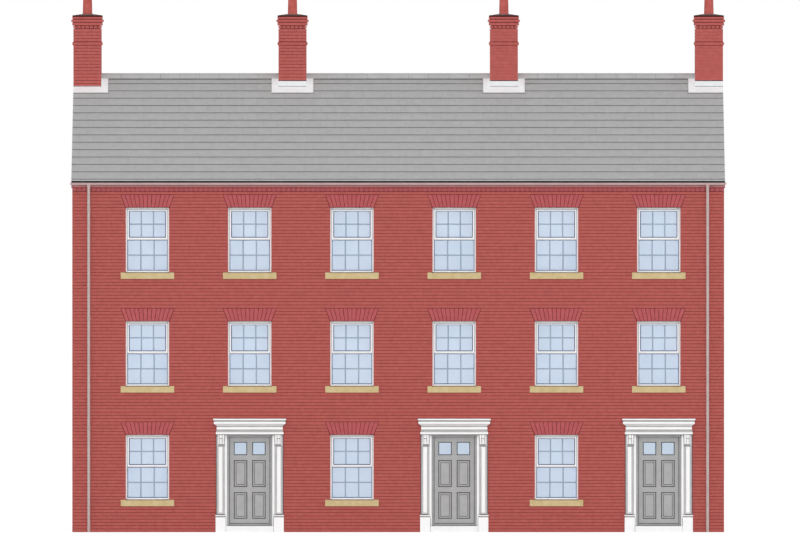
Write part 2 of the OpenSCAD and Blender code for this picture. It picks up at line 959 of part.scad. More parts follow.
module front_pipes() {
    for (x = pipe_xs)
        difference() {
            translate([x, -gutter_y, 0])
                cylinder(d = pipe_d, h = gutter_axis_z, $fn = round_fn);
            translate([x, -gutter_y, -past])
                cylinder(d = pipe_d - 2 * pipe_t, h = gutter_axis_z + 2 * past, $fn = round_fn);
            along_x(-gutter_half_l, gutter_half_l)
                gutter_profile(0);
        }
}

module downpipes() {
    color("#c5beb9") {
        front_pipes();
        mirror([0, 1, 0])
            front_pipes();
    }
}

// Collar round the pipe with a lug back to the wall
module pipe_bracket() {
    difference() {
        union() {
            cylinder(d = pipe_d + 2 * collar_t, h = bracket_h, $fn = round_fn);
            span([-lug_w / 2, 0, 0], [lug_w / 2, gutter_y - half_d, bracket_h]);
        }
        translate([0, 0, -past])
            cylinder(d = pipe_d + 2 * collar_gap, h = bracket_h + 2 * past, $fn = round_fn);
    }
}

module front_brackets() {
    pitch = (eaves_z - 2 * bracket_z) / (bracket_count - 1);
    for (x = pipe_xs, n = [0 : bracket_count - 1])
        translate([x, -gutter_y, bracket_z + n * pitch])
            pipe_bracket();
}

module pipe_brackets() {
    color("#b8b1ac") {
        front_brackets();
        mirror([0, 1, 0])
            front_brackets();
    }
}

// Slab of a stack, standing out from the shaft by the same amount all round
module stack_slab(low, high, out) {
    span([-stack_half_w - out, -stack_d / 2 - out, low], [stack_half_w + out, stack_d / 2 + out, high]);
}

module at_stacks() {
    for (x = stack_xs)
        translate([x, 0, 0])
            children();
}

module chimney_shafts() {
    color("#ba6560")
        at_stacks()
            stack_slab(stack_bottom, string_bottom, 0);
}

module chimney_string_courses() {
    color("#b85c58")
        at_stacks()
            stack_slab(string_bottom, string_top, string_proj);
}

module chimney_necks() {
    color("#ba6560")
        at_stacks()
            stack_slab(string_top, cap_bottom, 0);
}

// Three courses that step out and back in, under a sloped bed of mortar
module chimney_caps() {
    level = pot_foot_d / 2 + flaunch_lip;
    color("#b85c58")
        at_stacks() {
            stack_slab(cap_bottom, cap_bottom + course_h, cap_step);
            stack_slab(cap_bottom + course_h - eps, cap_top - course_h, 2 * cap_step);
            stack_slab(cap_top - course_h - eps, cap_top, cap_step);
            hull() {
                stack_slab(cap_top - eps, cap_top, cap_step - flaunch_inset);
                span([-level, -pot_pitch / 2 - level, cap_top],
                     [level, pot_pitch / 2 + level, cap_top + flaunch_h]);
            }
        }
}

module pot_outline() {
    body_top = pot_h - pot_rim_h;
    polygon([
        [pot_bore_d / 2, 0], [pot_foot_d / 2, 0], [pot_neck_d / 2, body_top],
        [pot_rim_d / 2, body_top + pot_round], [pot_rim_d / 2, pot_h - pot_round],
        [(pot_rim_d + pot_bore_d) / 4, pot_h], [pot_bore_d / 2, pot_h - pot_round]
    ]);
}

module chimney_pots() {
    color("#b4605a")
        at_stacks()
            for (y = [-pot_pitch / 2, pot_pitch / 2])
                translate([0, y, cap_top + flaunch_h])
                    rotate_extrude($fn = round_fn)
                        pot_outline();
}

// Lead on the front slope round one stack: apron, side strips and upstands
module front_lead(left_w, right_w) {
    outer = stack_d / 2 + lead_apron;
    inner = ridge_r;
    difference() {
        along_x(-stack_half_w - left_w, stack_half_w + right_w)
            polygon([
                [-outer, on_tiles_z(outer)], [-outer, bed_z(outer) + lead_rise],
                [-inner, bed_z(inner) + lead_rise], [-inner, on_tiles_z(inner)]
            ]);
        stack_slab(0, cap_top, 0);
    }
    difference() {
        along_x(-stack_half_w - (left_w > 0 ? lead_t : 0), stack_half_w + (right_w > 0 ? lead_t : 0))
            polygon([
                [-stack_d / 2 - lead_t, bed_z(stack_d / 2) + lead_rise - lead_t],
                [-stack_d / 2 - lead_t, bed_z(stack_d / 2) + lead_rise + lead_up],
                [-stack_d / 2, bed_z(stack_d / 2) + lead_rise + lead_up],
                [-inner, bed_z(inner) + lead_rise + lead_up],
                [-inner, on_tiles_z(inner)]
            ]);
        stack_slab(0, cap_top, 0);
    }
}

module chimney_flashings() {
    color("#e4e6e8")
        for (side = [0, 1], n = [0 : houses])
            mirror([0, side, 0])
                translate([stack_xs[n], 0, 0])
                    front_lead(n == 0 ? 0 : lead_side_w, n == houses ? 0 : lead_side_w);
}

front_wall_piers();
front_wall_bands();
rear_wall_piers();
rear_wall_bands();
end_walls();
party_walls();
ground_floor_slabs();
first_floor_decks();
second_floor_decks();
loft_floors();
window_arches();
window_sills();
window_frames();
upper_sashes();
lower_sashes();
window_glass();
door_jambs();
door_heads();
door_thresholds();
door_steps();
frame_hinges();
door_pilasters();
door_plinths();
door_consoles();
door_entablatures();
door_leaf(door_columns[0]);  // left_door_leaf
door_glass(door_columns[0]);  // left_door_glass
leaf_hinges(door_columns[0]);  // left_door_hinges
door_leaf(door_columns[1]);  // middle_door_leaf
door_glass(door_columns[1]);  // middle_door_glass
leaf_hinges(door_columns[1]);  // middle_door_hinges
door_leaf(door_columns[2]);  // right_door_leaf
door_glass(door_columns[2]);  // right_door_glass
leaf_hinges(door_columns[2]);  // right_door_hinges
eaves_courses();
front_roof_slope();
rear_roof_slope();
ridge_tiles();
gutters();
downpipes();
pipe_brackets();
chimney_shafts();
chimney_string_courses();
chimney_necks();
chimney_caps();
chimney_pots();
chimney_flashings();
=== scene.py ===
import math
import random

import bmesh
import bpy
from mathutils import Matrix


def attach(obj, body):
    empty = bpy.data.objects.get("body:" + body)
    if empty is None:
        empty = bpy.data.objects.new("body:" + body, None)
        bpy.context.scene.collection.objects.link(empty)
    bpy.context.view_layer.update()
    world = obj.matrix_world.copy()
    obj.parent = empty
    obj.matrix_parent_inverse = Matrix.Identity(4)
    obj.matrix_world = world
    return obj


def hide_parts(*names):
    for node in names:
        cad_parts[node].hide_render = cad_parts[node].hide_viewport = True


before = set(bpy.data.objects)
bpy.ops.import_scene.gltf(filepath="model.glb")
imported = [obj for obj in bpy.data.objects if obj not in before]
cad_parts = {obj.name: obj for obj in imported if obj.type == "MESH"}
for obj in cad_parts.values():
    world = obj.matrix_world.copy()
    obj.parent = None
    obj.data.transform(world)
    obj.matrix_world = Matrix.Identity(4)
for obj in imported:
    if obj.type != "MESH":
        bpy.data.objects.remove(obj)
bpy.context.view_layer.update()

dice = random.Random(7)

# Sizes in metres, as in the part's source: X along the row, -Y to the street, Z up
HALF_L = 7.5225
HALF_D = 4.1
COURSE = 0.075
BRICK = 0.225
FLOOR_Z = 0.15
EAVES = 8.025
EAVES_FACE = 4.1275
COLUMNS = [-5.7925, -3.43, -1.0675, 1.295, 3.6575, 6.02]
DOORS = COLUMNS[1::2]
DOOR_H = 2.25
SILLS = [0.75, 3.375, 6.0]
WINDOW_W = 1.01
WINDOW_H = 1.5
HALF_W = WINDOW_W / 2
SPLAY = 0.1125
ARCH_END = HALF_W + SPLAY
ARCH_H = 0.3
SILL_H = 0.15
PITCH = math.radians(30)
SLOPE = math.tan(PITCH)
ROOF_T = 0.1
ROOF_EDGE = 4.15
ROOF_HALF_L = 7.55
BED_EDGE = EAVES + (EAVES_FACE - ROOF_EDGE) * SLOPE + ROOF_T / math.cos(PITCH)
STACKS = [-7.225, -2.4575, 2.4575, 7.225]
STACK_W = 0.325
STACK_D = 0.445
STACK_FOOT, STRING_LOW, STRING_TOP, CAP_LOW, CAP_TOP = 10.051, 11.25, 11.325, 11.7, 11.925

# Brickwork: bed joints, narrow flush perpends, and how far bricks stand out from the mortar
BED = 0.01
PERPEND = 0.003
PROUD = 0.007
ARCH_JOINT = 0.008
BED_FOOT, BED_END = HALF_W + ARCH_JOINT, ARCH_END + ARCH_JOINT


# Maps from a wall's own place (along it, up, out of it) to the row's frame
def front(u, v, w):
    return (u, -HALF_D - w, v)


def rear(u, v, w):
    return (-u, HALF_D + w, v)


def left_end(u, v, w):
    return (-HALF_L - w, -u, v)


def right_end(u, v, w):
    return (HALF_L + w, u, v)


def moved(at, du, dv=0.0, dw=0.0, side=1):
    """The same map from a place of its own, mirrored along the wall where side is -1."""
    return lambda u, v, w: at(side * u + du, v + dv, w + dw)


def put(name, data):
    """New object in the scene."""
    obj = bpy.data.objects.new(name, data)
    bpy.context.scene.collection.objects.link(obj)
    return obj


class Solid:
    """Closed solids gathered into one mesh."""

    def __init__(self):
        self.verts, self.faces, self.marks = [], [], []

    def loft(self, rings, mark=0, closed=False):
        """Rings of points with the same count, capped at both ends or joined round. The mark
        is one material's number, or a list with a number for each side of a ring."""
        n = len(rings[0])
        marks = mark if isinstance(mark, list) else [mark] * n
        base = len(self.verts)
        for ring in rings:
            self.verts += ring
        for k in range(len(rings) if closed else len(rings) - 1):
            a = base + k * n
            b = base + (k + 1) % len(rings) * n
            self.faces += [(a + i, a + (i + 1) % n, b + (i + 1) % n, b + i) for i in range(n)]
            self.marks += marks
        if not closed:
            last = len(self.verts) - n
            self.faces.append(tuple(range(base + n - 1, base - 1, -1)))
            self.faces.append(tuple(range(last, last + n)))
            self.marks += [marks[0]] * 2

    def along(self, outline, x0, x1, side=1, mark=0):
        """Outline in (y, z) of the row, from x0 to x1, mirrored to the street by side -1."""
        self.loft([[(x, side * y, z) for y, z in outline] for x in (x0, x1)], mark)

    def prism(self, outline, w0, w1, at, mark=0):
        """Outline in (u, v), from depth w0 to w1."""
        self.loft([[at(u, v, w) for u, v in outline] for w in (w0, w1)], mark)

    def post(self, outline, v0, v1, at, mark=0):
        """Outline in (u, w), from level v0 to v1."""
        self.loft([[at(u, v, w) for u, w in outline] for v in (v0, v1)], mark)

    def rail(self, outline, u0, u1, at, mark=0):
        """Outline in (v, w), from u0 to u1."""
        self.loft([[at(u, v, w) for v, w in outline] for u in (u0, u1)], mark)

    def block(self, u0, u1, v0, v1, w0, w1, at, mark=0):
        self.prism([(u0, v0), (u1, v0), (u1, v1), (u0, v1)], w0, w1, at, mark)

    def tiers(self, levels, at, mark=0):
        """Rectangles one over another: (v, u0, u1, w0, w1)."""
        self.loft([[at(u0, v, w0), at(u1, v, w0), at(u1, v, w1), at(u0, v, w1)]
                   for v, u0, u1, w0, w1 in levels], mark)

    def border(self, u0, u1, v0, v1, profile, at, mark=0):
        """Moulding round a rectangle: profile in (inset, w), mitred at the corners."""
        self.loft([[at(u0 + d, v0 + d, w), at(u1 - d, v0 + d, w),
                    at(u1 - d, v1 - d, w), at(u0 + d, v1 - d, w)]
                   for d, w in profile], mark, closed=True)

    def lathe(self, profile, x, y, z, steps=40):
        """Closed profile in (radius, height), turned about an upright axis."""
        turns = [2 * math.pi * i / steps for i in range(steps)]
        self.loft([[(x + r * math.cos(a), y + r * math.sin(a), z + h) for a in turns]
                   for r, h in profile], closed=True)

    def build(self, name, looks, slot, stands_for=(), smooth=None, body="house"):
        """One object from all solids, riding on a body. The marks count its looks."""
        mesh = bpy.data.meshes.new(name)
        mesh.from_pydata(self.verts, [], self.faces)
        for look in looks.split():
            mesh.materials.append(LOOKS[look])
        mesh.polygons.foreach_set("material_index", self.marks)
        bm = bmesh.new()
        bm.from_mesh(mesh)
        bmesh.ops.recalc_face_normals(bm, faces=bm.faces)
        bm.to_mesh(mesh)
        bm.free()
        if smooth is not None:
            mesh.shade_smooth()
            mesh.set_sharp_from_angle(angle=math.radians(smooth))
        obj = put(name, mesh)
        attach(obj, body)
        if stands_for:
            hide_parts(*stands_for)


# Finished materials by name. The frame brings materials of its own under some of these names.
LOOKS = {}


def linear(code):
    """Linear colour of a hex code."""
    parts = [int(code[i:i + 2], 16) / 255 for i in (1, 3, 5)]
    return [c / 12.92 if c <= 0.04045 else ((c + 0.055) / 1.055) ** 2.4 for c in parts] + [1.0]


class Tree:
    """Shader nodes of a material or a world."""

    def __init__(self, owner, empty=False):
        owner.use_nodes = True
        self.tree = owner.node_tree
        if empty:
            self.tree.nodes.clear()

    def feed(self, target, value):
        """Link an output to an input, or set the input to a number or a colour."""
        if isinstance(value, bpy.types.NodeSocket):
            self.tree.links.new(value, target)
        else:
            target.default_value = linear(value) if isinstance(value, str) else value

    def node(self, kind, inputs, output=None, **settings):
        """New node with its inputs fed by name or number, or the output named."""
        made = self.tree.nodes.new("ShaderNode" + kind)
        for key, value in settings.items():
            setattr(made, key, value)
        for key, value in inputs.items():
            self.feed(made.inputs[key], value)
        return made.outputs[output] if output else made

    def math(self, operation, a, b):
        return self.node("Math", {0: a, 1: b}, "Value", operation=operation)


class Look(Tree):
    """Material under construction, with a Principled shader."""

    def __init__(self, name, roughness, specular):
        LOOKS[name] = bpy.data.materials.new(name)
        super().__init__(LOOKS[name])
        self.shader = self.tree.nodes["Principled BSDF"].inputs
        self.feed(self.shader["Roughness"], roughness)
        self.feed(self.shader["Specular IOR Level"], specular)
        self.place = self.node("TexCoord", {}, "Object")

    def axis(self, vector, name):
        return self.node("SeparateXYZ", {"Vector": vector}, name)

    def noise(self, scale, detail=3.0, stretch=None):
        place = self.place
        if stretch:
            place = self.node("Mapping", {"Scale": stretch, "Vector": place}, "Vector")
        return self.node("TexNoise", {"Scale": scale, "Detail": detail, "Vector": place}, "Fac")

    def ramp(self, value, *stops):
        """From the first stop's colour or grey to the second's: (place, colour or grey)."""
        made = self.node("ValToRGB", {"Fac": value})
        for part, (at, colour) in zip(made.color_ramp.elements, stops):
            part.position = at
            part.color = linear(colour) if isinstance(colour, str) else [colour] * 3 + [1.0]
        return made.outputs["Color"]

    def mix(self, factor, a, b, blend="MIX"):
        made = self.node("Mix", {0: factor, 6: a, 7: b}, data_type="RGBA", blend_type=blend)
        return made.outputs[2]

    def span(self, value, low, high, start=0.0, end=1.0):
        """Number from low to high while the value goes from start to end."""
        return self.node("MapRange", {"Value": value, "From Min": start, "From Max": end,
                                      "To Min": low, "To Max": high}, "Result")

    def scaled(self, colour, factor):
        return self.node("VectorMath", {0: colour, "Scale": factor}, "Vector", operation="SCALE")

    def by_piece(self, colour, spread):
        """Each separate solid a little lighter or darker."""
        island = self.node("NewGeometry", {}, "Random Per Island")
        return self.scaled(colour, self.span(island, 1 - spread, 1 + spread))

    def finish(self, colour, fine, low, high, relief, depth, strength=0.6):
        """Colour, roughness from low to high by the fine pattern, and a bump by the relief."""
        bump = self.node("Bump", {"Distance": depth, "Strength": strength, "Height": relief},
                         "Normal")
        self.feed(self.shader["Base Color"], colour)
        self.feed(self.shader["Roughness"], self.span(fine, low, high))
        self.feed(self.shader["Normal"], bump)


def mottled(name, dark, pale, roughness, scale, spread, grain, depth, specular, metal=0.0):
    """Two tints in soft patches with a fine grain, some pieces a little lighter than others."""
    look = Look(name, roughness, specular)
    look.feed(look.shader["Metallic"], metal)
    colour = look.ramp(look.noise(scale, 5.0), (0.35, dark), (0.65, pale))
    if spread:
        colour = look.by_piece(colour, spread)
    fine = look.noise(grain, 2.0)
    look.finish(colour, fine, roughness - 0.06, min(roughness + 0.06, 1.0), fine, depth)


def coursed(name, brick_a, brick_b, joint):
    """Brickwork drawn in the material, for the walls' own faces behind and inside the skins."""
    look = Look(name, 0.85, 0.2)
    parts = look.node("SeparateXYZ", {"Vector": look.place}).outputs
    flat = look.node("CombineXYZ", {"X": look.math("ADD", parts["X"], parts["Y"]),
                                    "Y": parts["Z"]}, "Vector")
    bricks = look.node("TexBrick", {
        "Vector": flat, "Color1": brick_a, "Color2": brick_b, "Mortar": joint, "Scale": 1.0,
        "Mortar Size": BED * 0.7, "Mortar Smooth": 0.1, "Brick Width": BRICK,
        "Row Height": COURSE}, "Color")
    fine = look.noise(150.0)
    look.finish(bricks, fine, 0.8, 0.95, fine, 0.0005)


def boards(name, dark, pale, width):
    """Floor boards across the houses."""
    look = Look(name, 0.55, 0.3)
    steps = look.math("MULTIPLY", look.axis(look.place, "X"), 1 / width)
    gap = look.ramp(look.math("PINGPONG", steps, 0.5), (0, 0.25), (0.03, 1.0))
    grain = look.noise(6.0, 6.0, (30.0, 1.0, 6.0))
    wood = look.ramp(grain, (0.3, dark), (0.7, pale))
    look.finish(look.mix(1.0, wood, gap, "MULTIPLY"), grain, 0.45, 0.65, gap, 0.001)


def pane(name, dark, pale, gain=0.0):
    """Pale blue glass, its colour a painted reflection of the sky, with the slight waves of drawn
    sheets. The panes near the ground are made paler by the gain, as painted light."""
    look = Look(name, 0.08, 0.5)
    look.feed(look.shader["IOR"], 1.5)
    colour = look.by_piece(look.ramp(look.noise(1.6, 2.0), (0.3, dark), (0.7, pale)), 0.015)
    if gain:
        height = look.axis(look.place, "Z")
        top = SILLS[2] + WINDOW_H
        colour = look.scaled(colour, look.span(height, 1 + gain, 1.0, SILLS[0], top))
    waves = look.noise(7.0, 2.0)
    look.finish(colour, waves, 0.08, 0.13, waves, 0.0006, 0.3)


def covering(name, top, edge):
    """Dark underlay on the faces that look up, and a pale trim on all others."""
    look = Look(name, 0.7, 0.2)
    normal = look.node("NewGeometry", {}, "True Normal")
    up = look.ramp(look.axis(normal, "Z"), (0.4, 0), (0.5, 1.0))
    fine = look.noise(60.0)
    look.finish(look.mix(up, edge, top), fine, 0.6, 0.8, fine, 0.0004)


# Finishes: roughness, patches a metre, spread between pieces, grain a metre, its depth, gloss
FIRED = (0.82, 9, 0.03, 140, 0.0006, 0.2)
JOINTS = (0.95, 9, 0, 260, 0.0006, 0.1)
SURROUND_COAT = (0.45, 4, 0, 90, 0.0001, 0.4)
DOOR_COAT = (0.42, 6, 0, 90, 0.0001, 0.45)
PIPE_COAT = (0.45, 5, 0, 80, 0.0001, 0.45)
RUBBER = (0.6, 20, 0, 200, 0.0001, 0.3)
SHEET = (0.5, 9, 0, 60, 0.0004, 0.5)
SHEET_EDGE = (0.55, 9, 0, 60, 0.0003, 0.4)
BEDDING = (0.9, 12, 0, 150, 0.001, 0.15)

mottled("brick", "#b25954", "#ba605a", *FIRED)
mottled("chimney_brick", "#b55c57", "#bd625e", *FIRED)
mottled("rubbed_brick", "#b35558", "#ba5d60", 0.75, 9, 0.025, 160, 0.0003, 0.2)
mottled("mortar", "#6f2a28", "#7d322f", *JOINTS)
mottled("flush_mortar", "#b65e58", "#bd625e", *JOINTS)
mottled("arch_mortar", "#43131b", "#4f1820", *JOINTS)
mottled("eaves_brick", "#a8565b", "#b05d62", 0.82, 9, 0, 140, 0.0006, 0.2)
mottled("dentil_bed", "#8e4643", "#9a4d49", *JOINTS)
coursed("wall_core", "#b25954", "#b7605b", "#742c2a")
coursed("party_core", "#b98a80", "#b08076", "#8f7a72")
mottled("stone", "#ccb685", "#d6c295", 0.8, 6, 0.02, 220, 0.0004, 0.25)
# Darker stone on the sills' weathered tops: painted shade under the window frames
mottled("worn_stone", "#9c8560", "#aa936c", 0.85, 14, 0, 220, 0.0006, 0.2)
mottled("step_stone", "#f9fafb", "#fdfefe", 0.7, 6, 0, 220, 0.0003, 0.25)
# Grey on the steps' nosing bevel: a painted shadow line along the top edge
mottled("step_edge", "#8b8a88", "#979694", 0.75, 6, 0, 220, 0.0003, 0.2)
mottled("white_paint", "#f8fafb", "#fdfdfe", 0.4, 5, 0, 90, 0.00008, 0.45)
mottled("surround_paint", "#fafcfc", "#fefefe", *SURROUND_COAT)
# Grey on the door surrounds' backing, beads, console feet and mouldings: painted shade of their
# recesses
mottled("surround_grey", "#cdcccc", "#d4d3d3", *SURROUND_COAT)
# Pale grey on the cyma and on the bands round the frieze's line: painted shade of the mouldings
mottled("surround_pale", "#e2e1e1", "#e9e8e8", *SURROUND_COAT)
# Mid grey bands on the door surrounds: painted shade under and between the mouldings
mottled("surround_shade", "#aaa8a7", "#b2b0af", 0.5, 4, 0, 90, 0.0001, 0.3)
# Near-black on the door surrounds: painted shadow lines at joints, grooves and edges
mottled("surround_line", "#4e4c4b", "#585655", 0.6, 4, 0, 90, 0.0001, 0.3)
mottled("leaf_paint", "#a5a5a5", "#adadad", *DOOR_COAT)
mottled("frame_paint", "#989898", "#a2a2a2", *DOOR_COAT)
# Door heads: the frame's grey made lighter, painted light against the shade under the entablature
mottled("head_painted_light", "#b4b4b4", "#bdbdbd", *DOOR_COAT)
# Glazing bars: white bars coloured grey-blue, painted shade
mottled("bar_paint", "#becfe0", "#c7d6e5", 0.45, 5, 0, 90, 0.00008, 0.4)
# Seals: real dark glazing seals, widened and darkened as painted shadow lines at the glass edges and
# beside the bars
mottled("seal", "#40557a", "#485d84", *RUBBER)
# Sash gaps: grey strips where sash and frame meet, painted shade
mottled("sash_gap", "#858c91", "#8f969b", *RUBBER)
# Doors: near-black in the panels' quirks and at the joints of leaf, frame and threshold, painted
# shadow lines
mottled("door_painted_shade", "#343436", "#3e3e40", *RUBBER)
# Mastic: real sealant joints round frames, surrounds and upstands, coloured dark maroon as painted
# shadow lines
mottled("mastic", "#441f24", "#50262b", 0.7, 20, 0, 200, 0.0002, 0.3)
pane("window_pane", "#c2d4e9", "#c9d9ec", 0.09)
pane("door_pane", "#c4d7eb", "#ccdcee")
mottled("tile", "#b1b1b1", "#b7b7b7", 0.8, 7, 0.012, 180, 0.0005, 0.2)
# Darker grey on the tiles' tail edges and the ridge bedding: painted shade
mottled("tile_edge", "#6f6f6f", "#7b7b7b", 0.85, 5, 0, 180, 0.0005, 0.2)
mottled("ridge_clay", "#b3b3b3", "#bcbcbc", 0.8, 4, 0.015, 180, 0.0005, 0.2)
covering("underlay", "#6c6c6c", "#c6c6c2")
mottled("gutter_paint", "#bea19f", "#c7aba9", *PIPE_COAT)
# Paler paint on the gutters' lower half and on the bead under them: painted light
mottled("gutter_belly", "#dbbdbb", "#e4c6c4", *PIPE_COAT)
mottled("pipe_paint", "#baa7a3", "#c2b1ac", *PIPE_COAT)
# Black felt of the eaves tray, sized as painted shadow between tiles and gutter, and on the gutter's
# lip a painted shadow line
mottled("felt", "#100e0e", "#181616", 0.9, 12, 0, 150, 0.0004, 0.2)
mottled("lead", "#e1e3e5", "#e8eaec", *SHEET)
mottled("lead_apron", "#f6f7f8", "#fcfcfd", *SHEET)
# Darker greys on the lead's edges, folds and welts: painted shade
mottled("lead_edge", "#5c5e62", "#66686c", *SHEET_EDGE)
mottled("lead_welt", "#b4b6b8", "#bdbfc1", *SHEET_EDGE)
mottled("clay", "#b5564f", "#c3635c", 0.75, 9, 0.03, 200, 0.0005, 0.25)
mottled("flaunching", "#6b5b56", "#7b6a64", *BEDDING)
mottled("flaunching_rim", "#371315", "#411a1c", *BEDDING)
mottled("concrete", "#b0ada5", "#bdbab2", 0.9, 5, 0, 150, 0.0006, 0.2)
boards("planks", "#b8935f", "#d0ae7c", 0.14)
mottled("brass", "#80714d", "#97865f", 0.38, 30, 0, 200, 0.00005, 0.5, 0.9)


def dress(look, names):
    """CAD nodes' own meshes with a finished material."""
    for obj in [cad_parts[name] for name in names.split()]:
        if not obj.material_slots:
            obj.data.materials.append(None)
        for slot in obj.material_slots:
            slot.material = LOOKS[look]


dress("wall_core", "front_wall_piers front_wall_bands rear_wall_piers rear_wall_bands end_walls")
dress("party_core", "party_walls")
dress("concrete", "ground_floor_slabs")
dress("planks", "first_floor_decks second_floor_decks loft_floors")
dress("arch_mortar", "window_arches")
dress("white_paint", "window_frames upper_sashes lower_sashes")
dress("window_pane", "window_glass")
dress("frame_paint", "door_jambs door_thresholds")
# The door heads take the lighter grey: painted light
dress("head_painted_light", "door_heads")
dress("leaf_paint", "left_door_leaf middle_door_leaf right_door_leaf")
dress("door_pane", "left_door_glass middle_door_glass right_door_glass")
dress("brass", "frame_hinges left_door_hinges middle_door_hinges right_door_hinges")
dress("eaves_brick", "eaves_courses")
dress("underlay", "front_roof_slope rear_roof_slope")
dress("pipe_paint", "downpipes pipe_brackets")


# Brickwork
def clip(outline, keep):
    """Part of a convex outline where keep is not negative."""
    out = []
    for p, q in zip(outline, outline[1:] + outline[:1]):
        a, b = keep(p), keep(q)
        if a >= 0:
            out.append(p)
        if (a >= 0) != (b >= 0):
            t = a / (a - b)
            out.append((p[0] + t * (q[0] - p[0]), p[1] + t * (q[1] - p[1])))
    return out


def area(outline):
    return abs(sum(p[0] * q[1] - q[0] * p[1]
                   for p, q in zip(outline, outline[1:] + outline[:1]))) / 2


def perpends(half, lead):
    """Perpends of one course, laid from both corners to the middle, without short cuts there."""
    row = []
    u = half - lead
    while u > 0.045:
        row += [-u, u]
        u -= BRICK
    if u + BRICK > 0.15:
        row.append(0)
    return sorted(row)


# Sides of a wall or of a hole in it, each as a function of the level
def upright(u):
    return lambda v: u


def sloping(v0, u0, v1, u1):
    return lambda v: u0 + (u1 - u0) * (v - v0) / (v1 - v0)


def lay_bricks(solid, at, half, first, last, ends, holes, parity, w0=0.0, w1=PROUD):
    """Courses first to last of a wall in stretcher bond. ends gives the wall's two sloping or
    upright sides, and each hole has a low and high level and two sides of its own."""
    for k in range(first, last):
        v0 = k * COURSE + BED / 2
        v1 = (k + 1) * COURSE - BED / 2
        mid = (v0 + v1) / 2
        cuts = [(left, right) for lo, hi, left, right in holes if lo < mid < hi]
        cuts.sort(key=lambda cut: cut[0](mid))
        edges = [ends[0]] + [side for cut in cuts for side in cut] + [ends[1]]
        joints = perpends(half, BRICK / 2 if (k + parity) % 2 else BRICK)
        for left, right in zip(edges[::2], edges[1::2]):
            a, b = left(mid), right(mid)
            lean_a = abs(left(v1) - left(v0)) / 2
            lean_b = abs(right(v1) - right(v0)) / 2
            inner = [j for j in joints if a + 0.05 < j < b - 0.05]
            stops = [a - lean_a] + inner + [b + lean_b]
            for i in range(len(stops) - 1):
                p = stops[i] + (PERPEND / 2 if i else 0)
                q = stops[i + 1] - (PERPEND / 2 if i + 2 < len(stops) else 0)
                shape = [(p, v0), (q, v0), (q, v1), (p, v1)]
                if lean_a:
                    shape = clip(shape, lambda c: c[0] - left(c[1]))
                if lean_b and len(shape) > 2:
                    shape = clip(shape, lambda c: right(c[1]) - c[0])
                if len(shape) > 2 and area(shape) > 0.0002:
                    solid.prism(shape, w0, w1, at)


def window_holes(u, sill):
    """Places in the brickwork for a window's sill, opening and arch."""
    head = sill + WINDOW_H
    top = head + ARCH_H
    return [
        (sill - SILL_H, sill, upright(u - ARCH_END), upright(u + ARCH_END)),
        (sill, head, upright(u - HALF_W), upright(u + HALF_W)),
        (head, top, sloping(head, u - BED_FOOT, top, u - BED_END),
         sloping(head, u + BED_FOOT, top, u + BED_END)),
    ]


# Places behind a door surround, a little narrower than it: low and high level, half width
DOOR_HOLES = [(0, 0.4, 0.785), (0.4, DOOR_H, 0.766), (DOOR_H, 2.62, 0.762)]
WINDOWS = [(at, u, z) for at in (front, rear) for z in SILLS for u in COLUMNS
           if at is rear or z > SILLS[0] or u not in DOORS]
EAVES_COURSE, DENTIL_COURSE, SEAT_COURSE, APEX_COURSE = 107, 105, 134, 138
STRING_COURSE, DENTILS_COURSE = 150, 155
corner = HALF_L + PROUD
row_ends = (upright(-corner), upright(corner))

for name, at, doors in (("front_brickwork", front, DOORS), ("rear_brickwork", rear, [])):
    holes = [h for wall, u, z in WINDOWS if wall is at for h in window_holes(u, z)]
    holes += [(lo, hi, upright(u - half), upright(u + half))
              for u in doors for lo, hi, half in DOOR_HOLES]
    skin = Solid()
    lay_bricks(skin, at, HALF_L, 0, DENTIL_COURSE, row_ends, holes, 1)
    skin.build(name, "brick", "brick")

apex_z = EAVES + EAVES_FACE * SLOPE - 0.002
reach = (apex_z - EAVES) / SLOPE
plumb = (upright(-HALF_D), upright(HALF_D))
rake = (sloping(EAVES, -reach, apex_z, 0), sloping(EAVES, reach, apex_z, 0))
seat = [(STACK_FOOT, STRING_LOW, upright(-STACK_D), upright(STACK_D))]
for name, at in (("left_gable_brickwork", left_end), ("right_gable_brickwork", right_end)):
    skin = Solid()
    lay_bricks(skin, at, HALF_D, 0, EAVES_COURSE, plumb, [], 0)
    lay_bricks(skin, at, HALF_D, EAVES_COURSE, SEAT_COURSE, rake, [], 0)
    lay_bricks(skin, at, HALF_D, SEAT_COURSE, APEX_COURSE, rake, seat, 0)
    skin.build(name, "brick", "brick")

# Bricks that turn into the reveals, and the arches' voussoirs over the mortar of their beds
REVEAL = 0.1015
VOUSSOIRS = 12
returns, voussoirs = Solid(), Solid()
for at, u, z in WINDOWS:
    here = moved(at, u, z)
    for k in range(round(WINDOW_H / COURSE)):
        for side in (-1, 1):
            returns.block(side * (HALF_W - 0.003), side * (HALF_W + 0.001), k * COURSE + BED / 2,
                          (k + 1) * COURSE - BED / 2, -REVEAL, 0, here)
    top_z = WINDOW_H + ARCH_H + ARCH_JOINT
    bed = [(-BED_FOOT, WINDOW_H), (BED_FOOT, WINDOW_H), (BED_END, top_z), (-BED_END, top_z)]
    voussoirs.prism(bed, -0.0005, 0.002, here, 1)
    for i in range(VOUSSOIRS):
        foot = [-HALF_W + WINDOW_W * (i + n) / VOUSSOIRS for n in (0, 1)]
        top = [-ARCH_END + 2 * ARCH_END * (i + n) / VOUSSOIRS for n in (0, 1)]
        voussoirs.prism([(foot[0] + 0.005, 0.004), (foot[1] - 0.005, 0.004),
                         (top[1] - 0.005, ARCH_H - 0.006), (top[0] + 0.005, ARCH_H - 0.006)],
                        -REVEAL, PROUD, moved(here, 0, WINDOW_H))
returns.build("reveal_bricks", "brick", "brick")
voussoirs.build("arch_voussoirs", "rubbed_brick arch_mortar", "arch_brick")

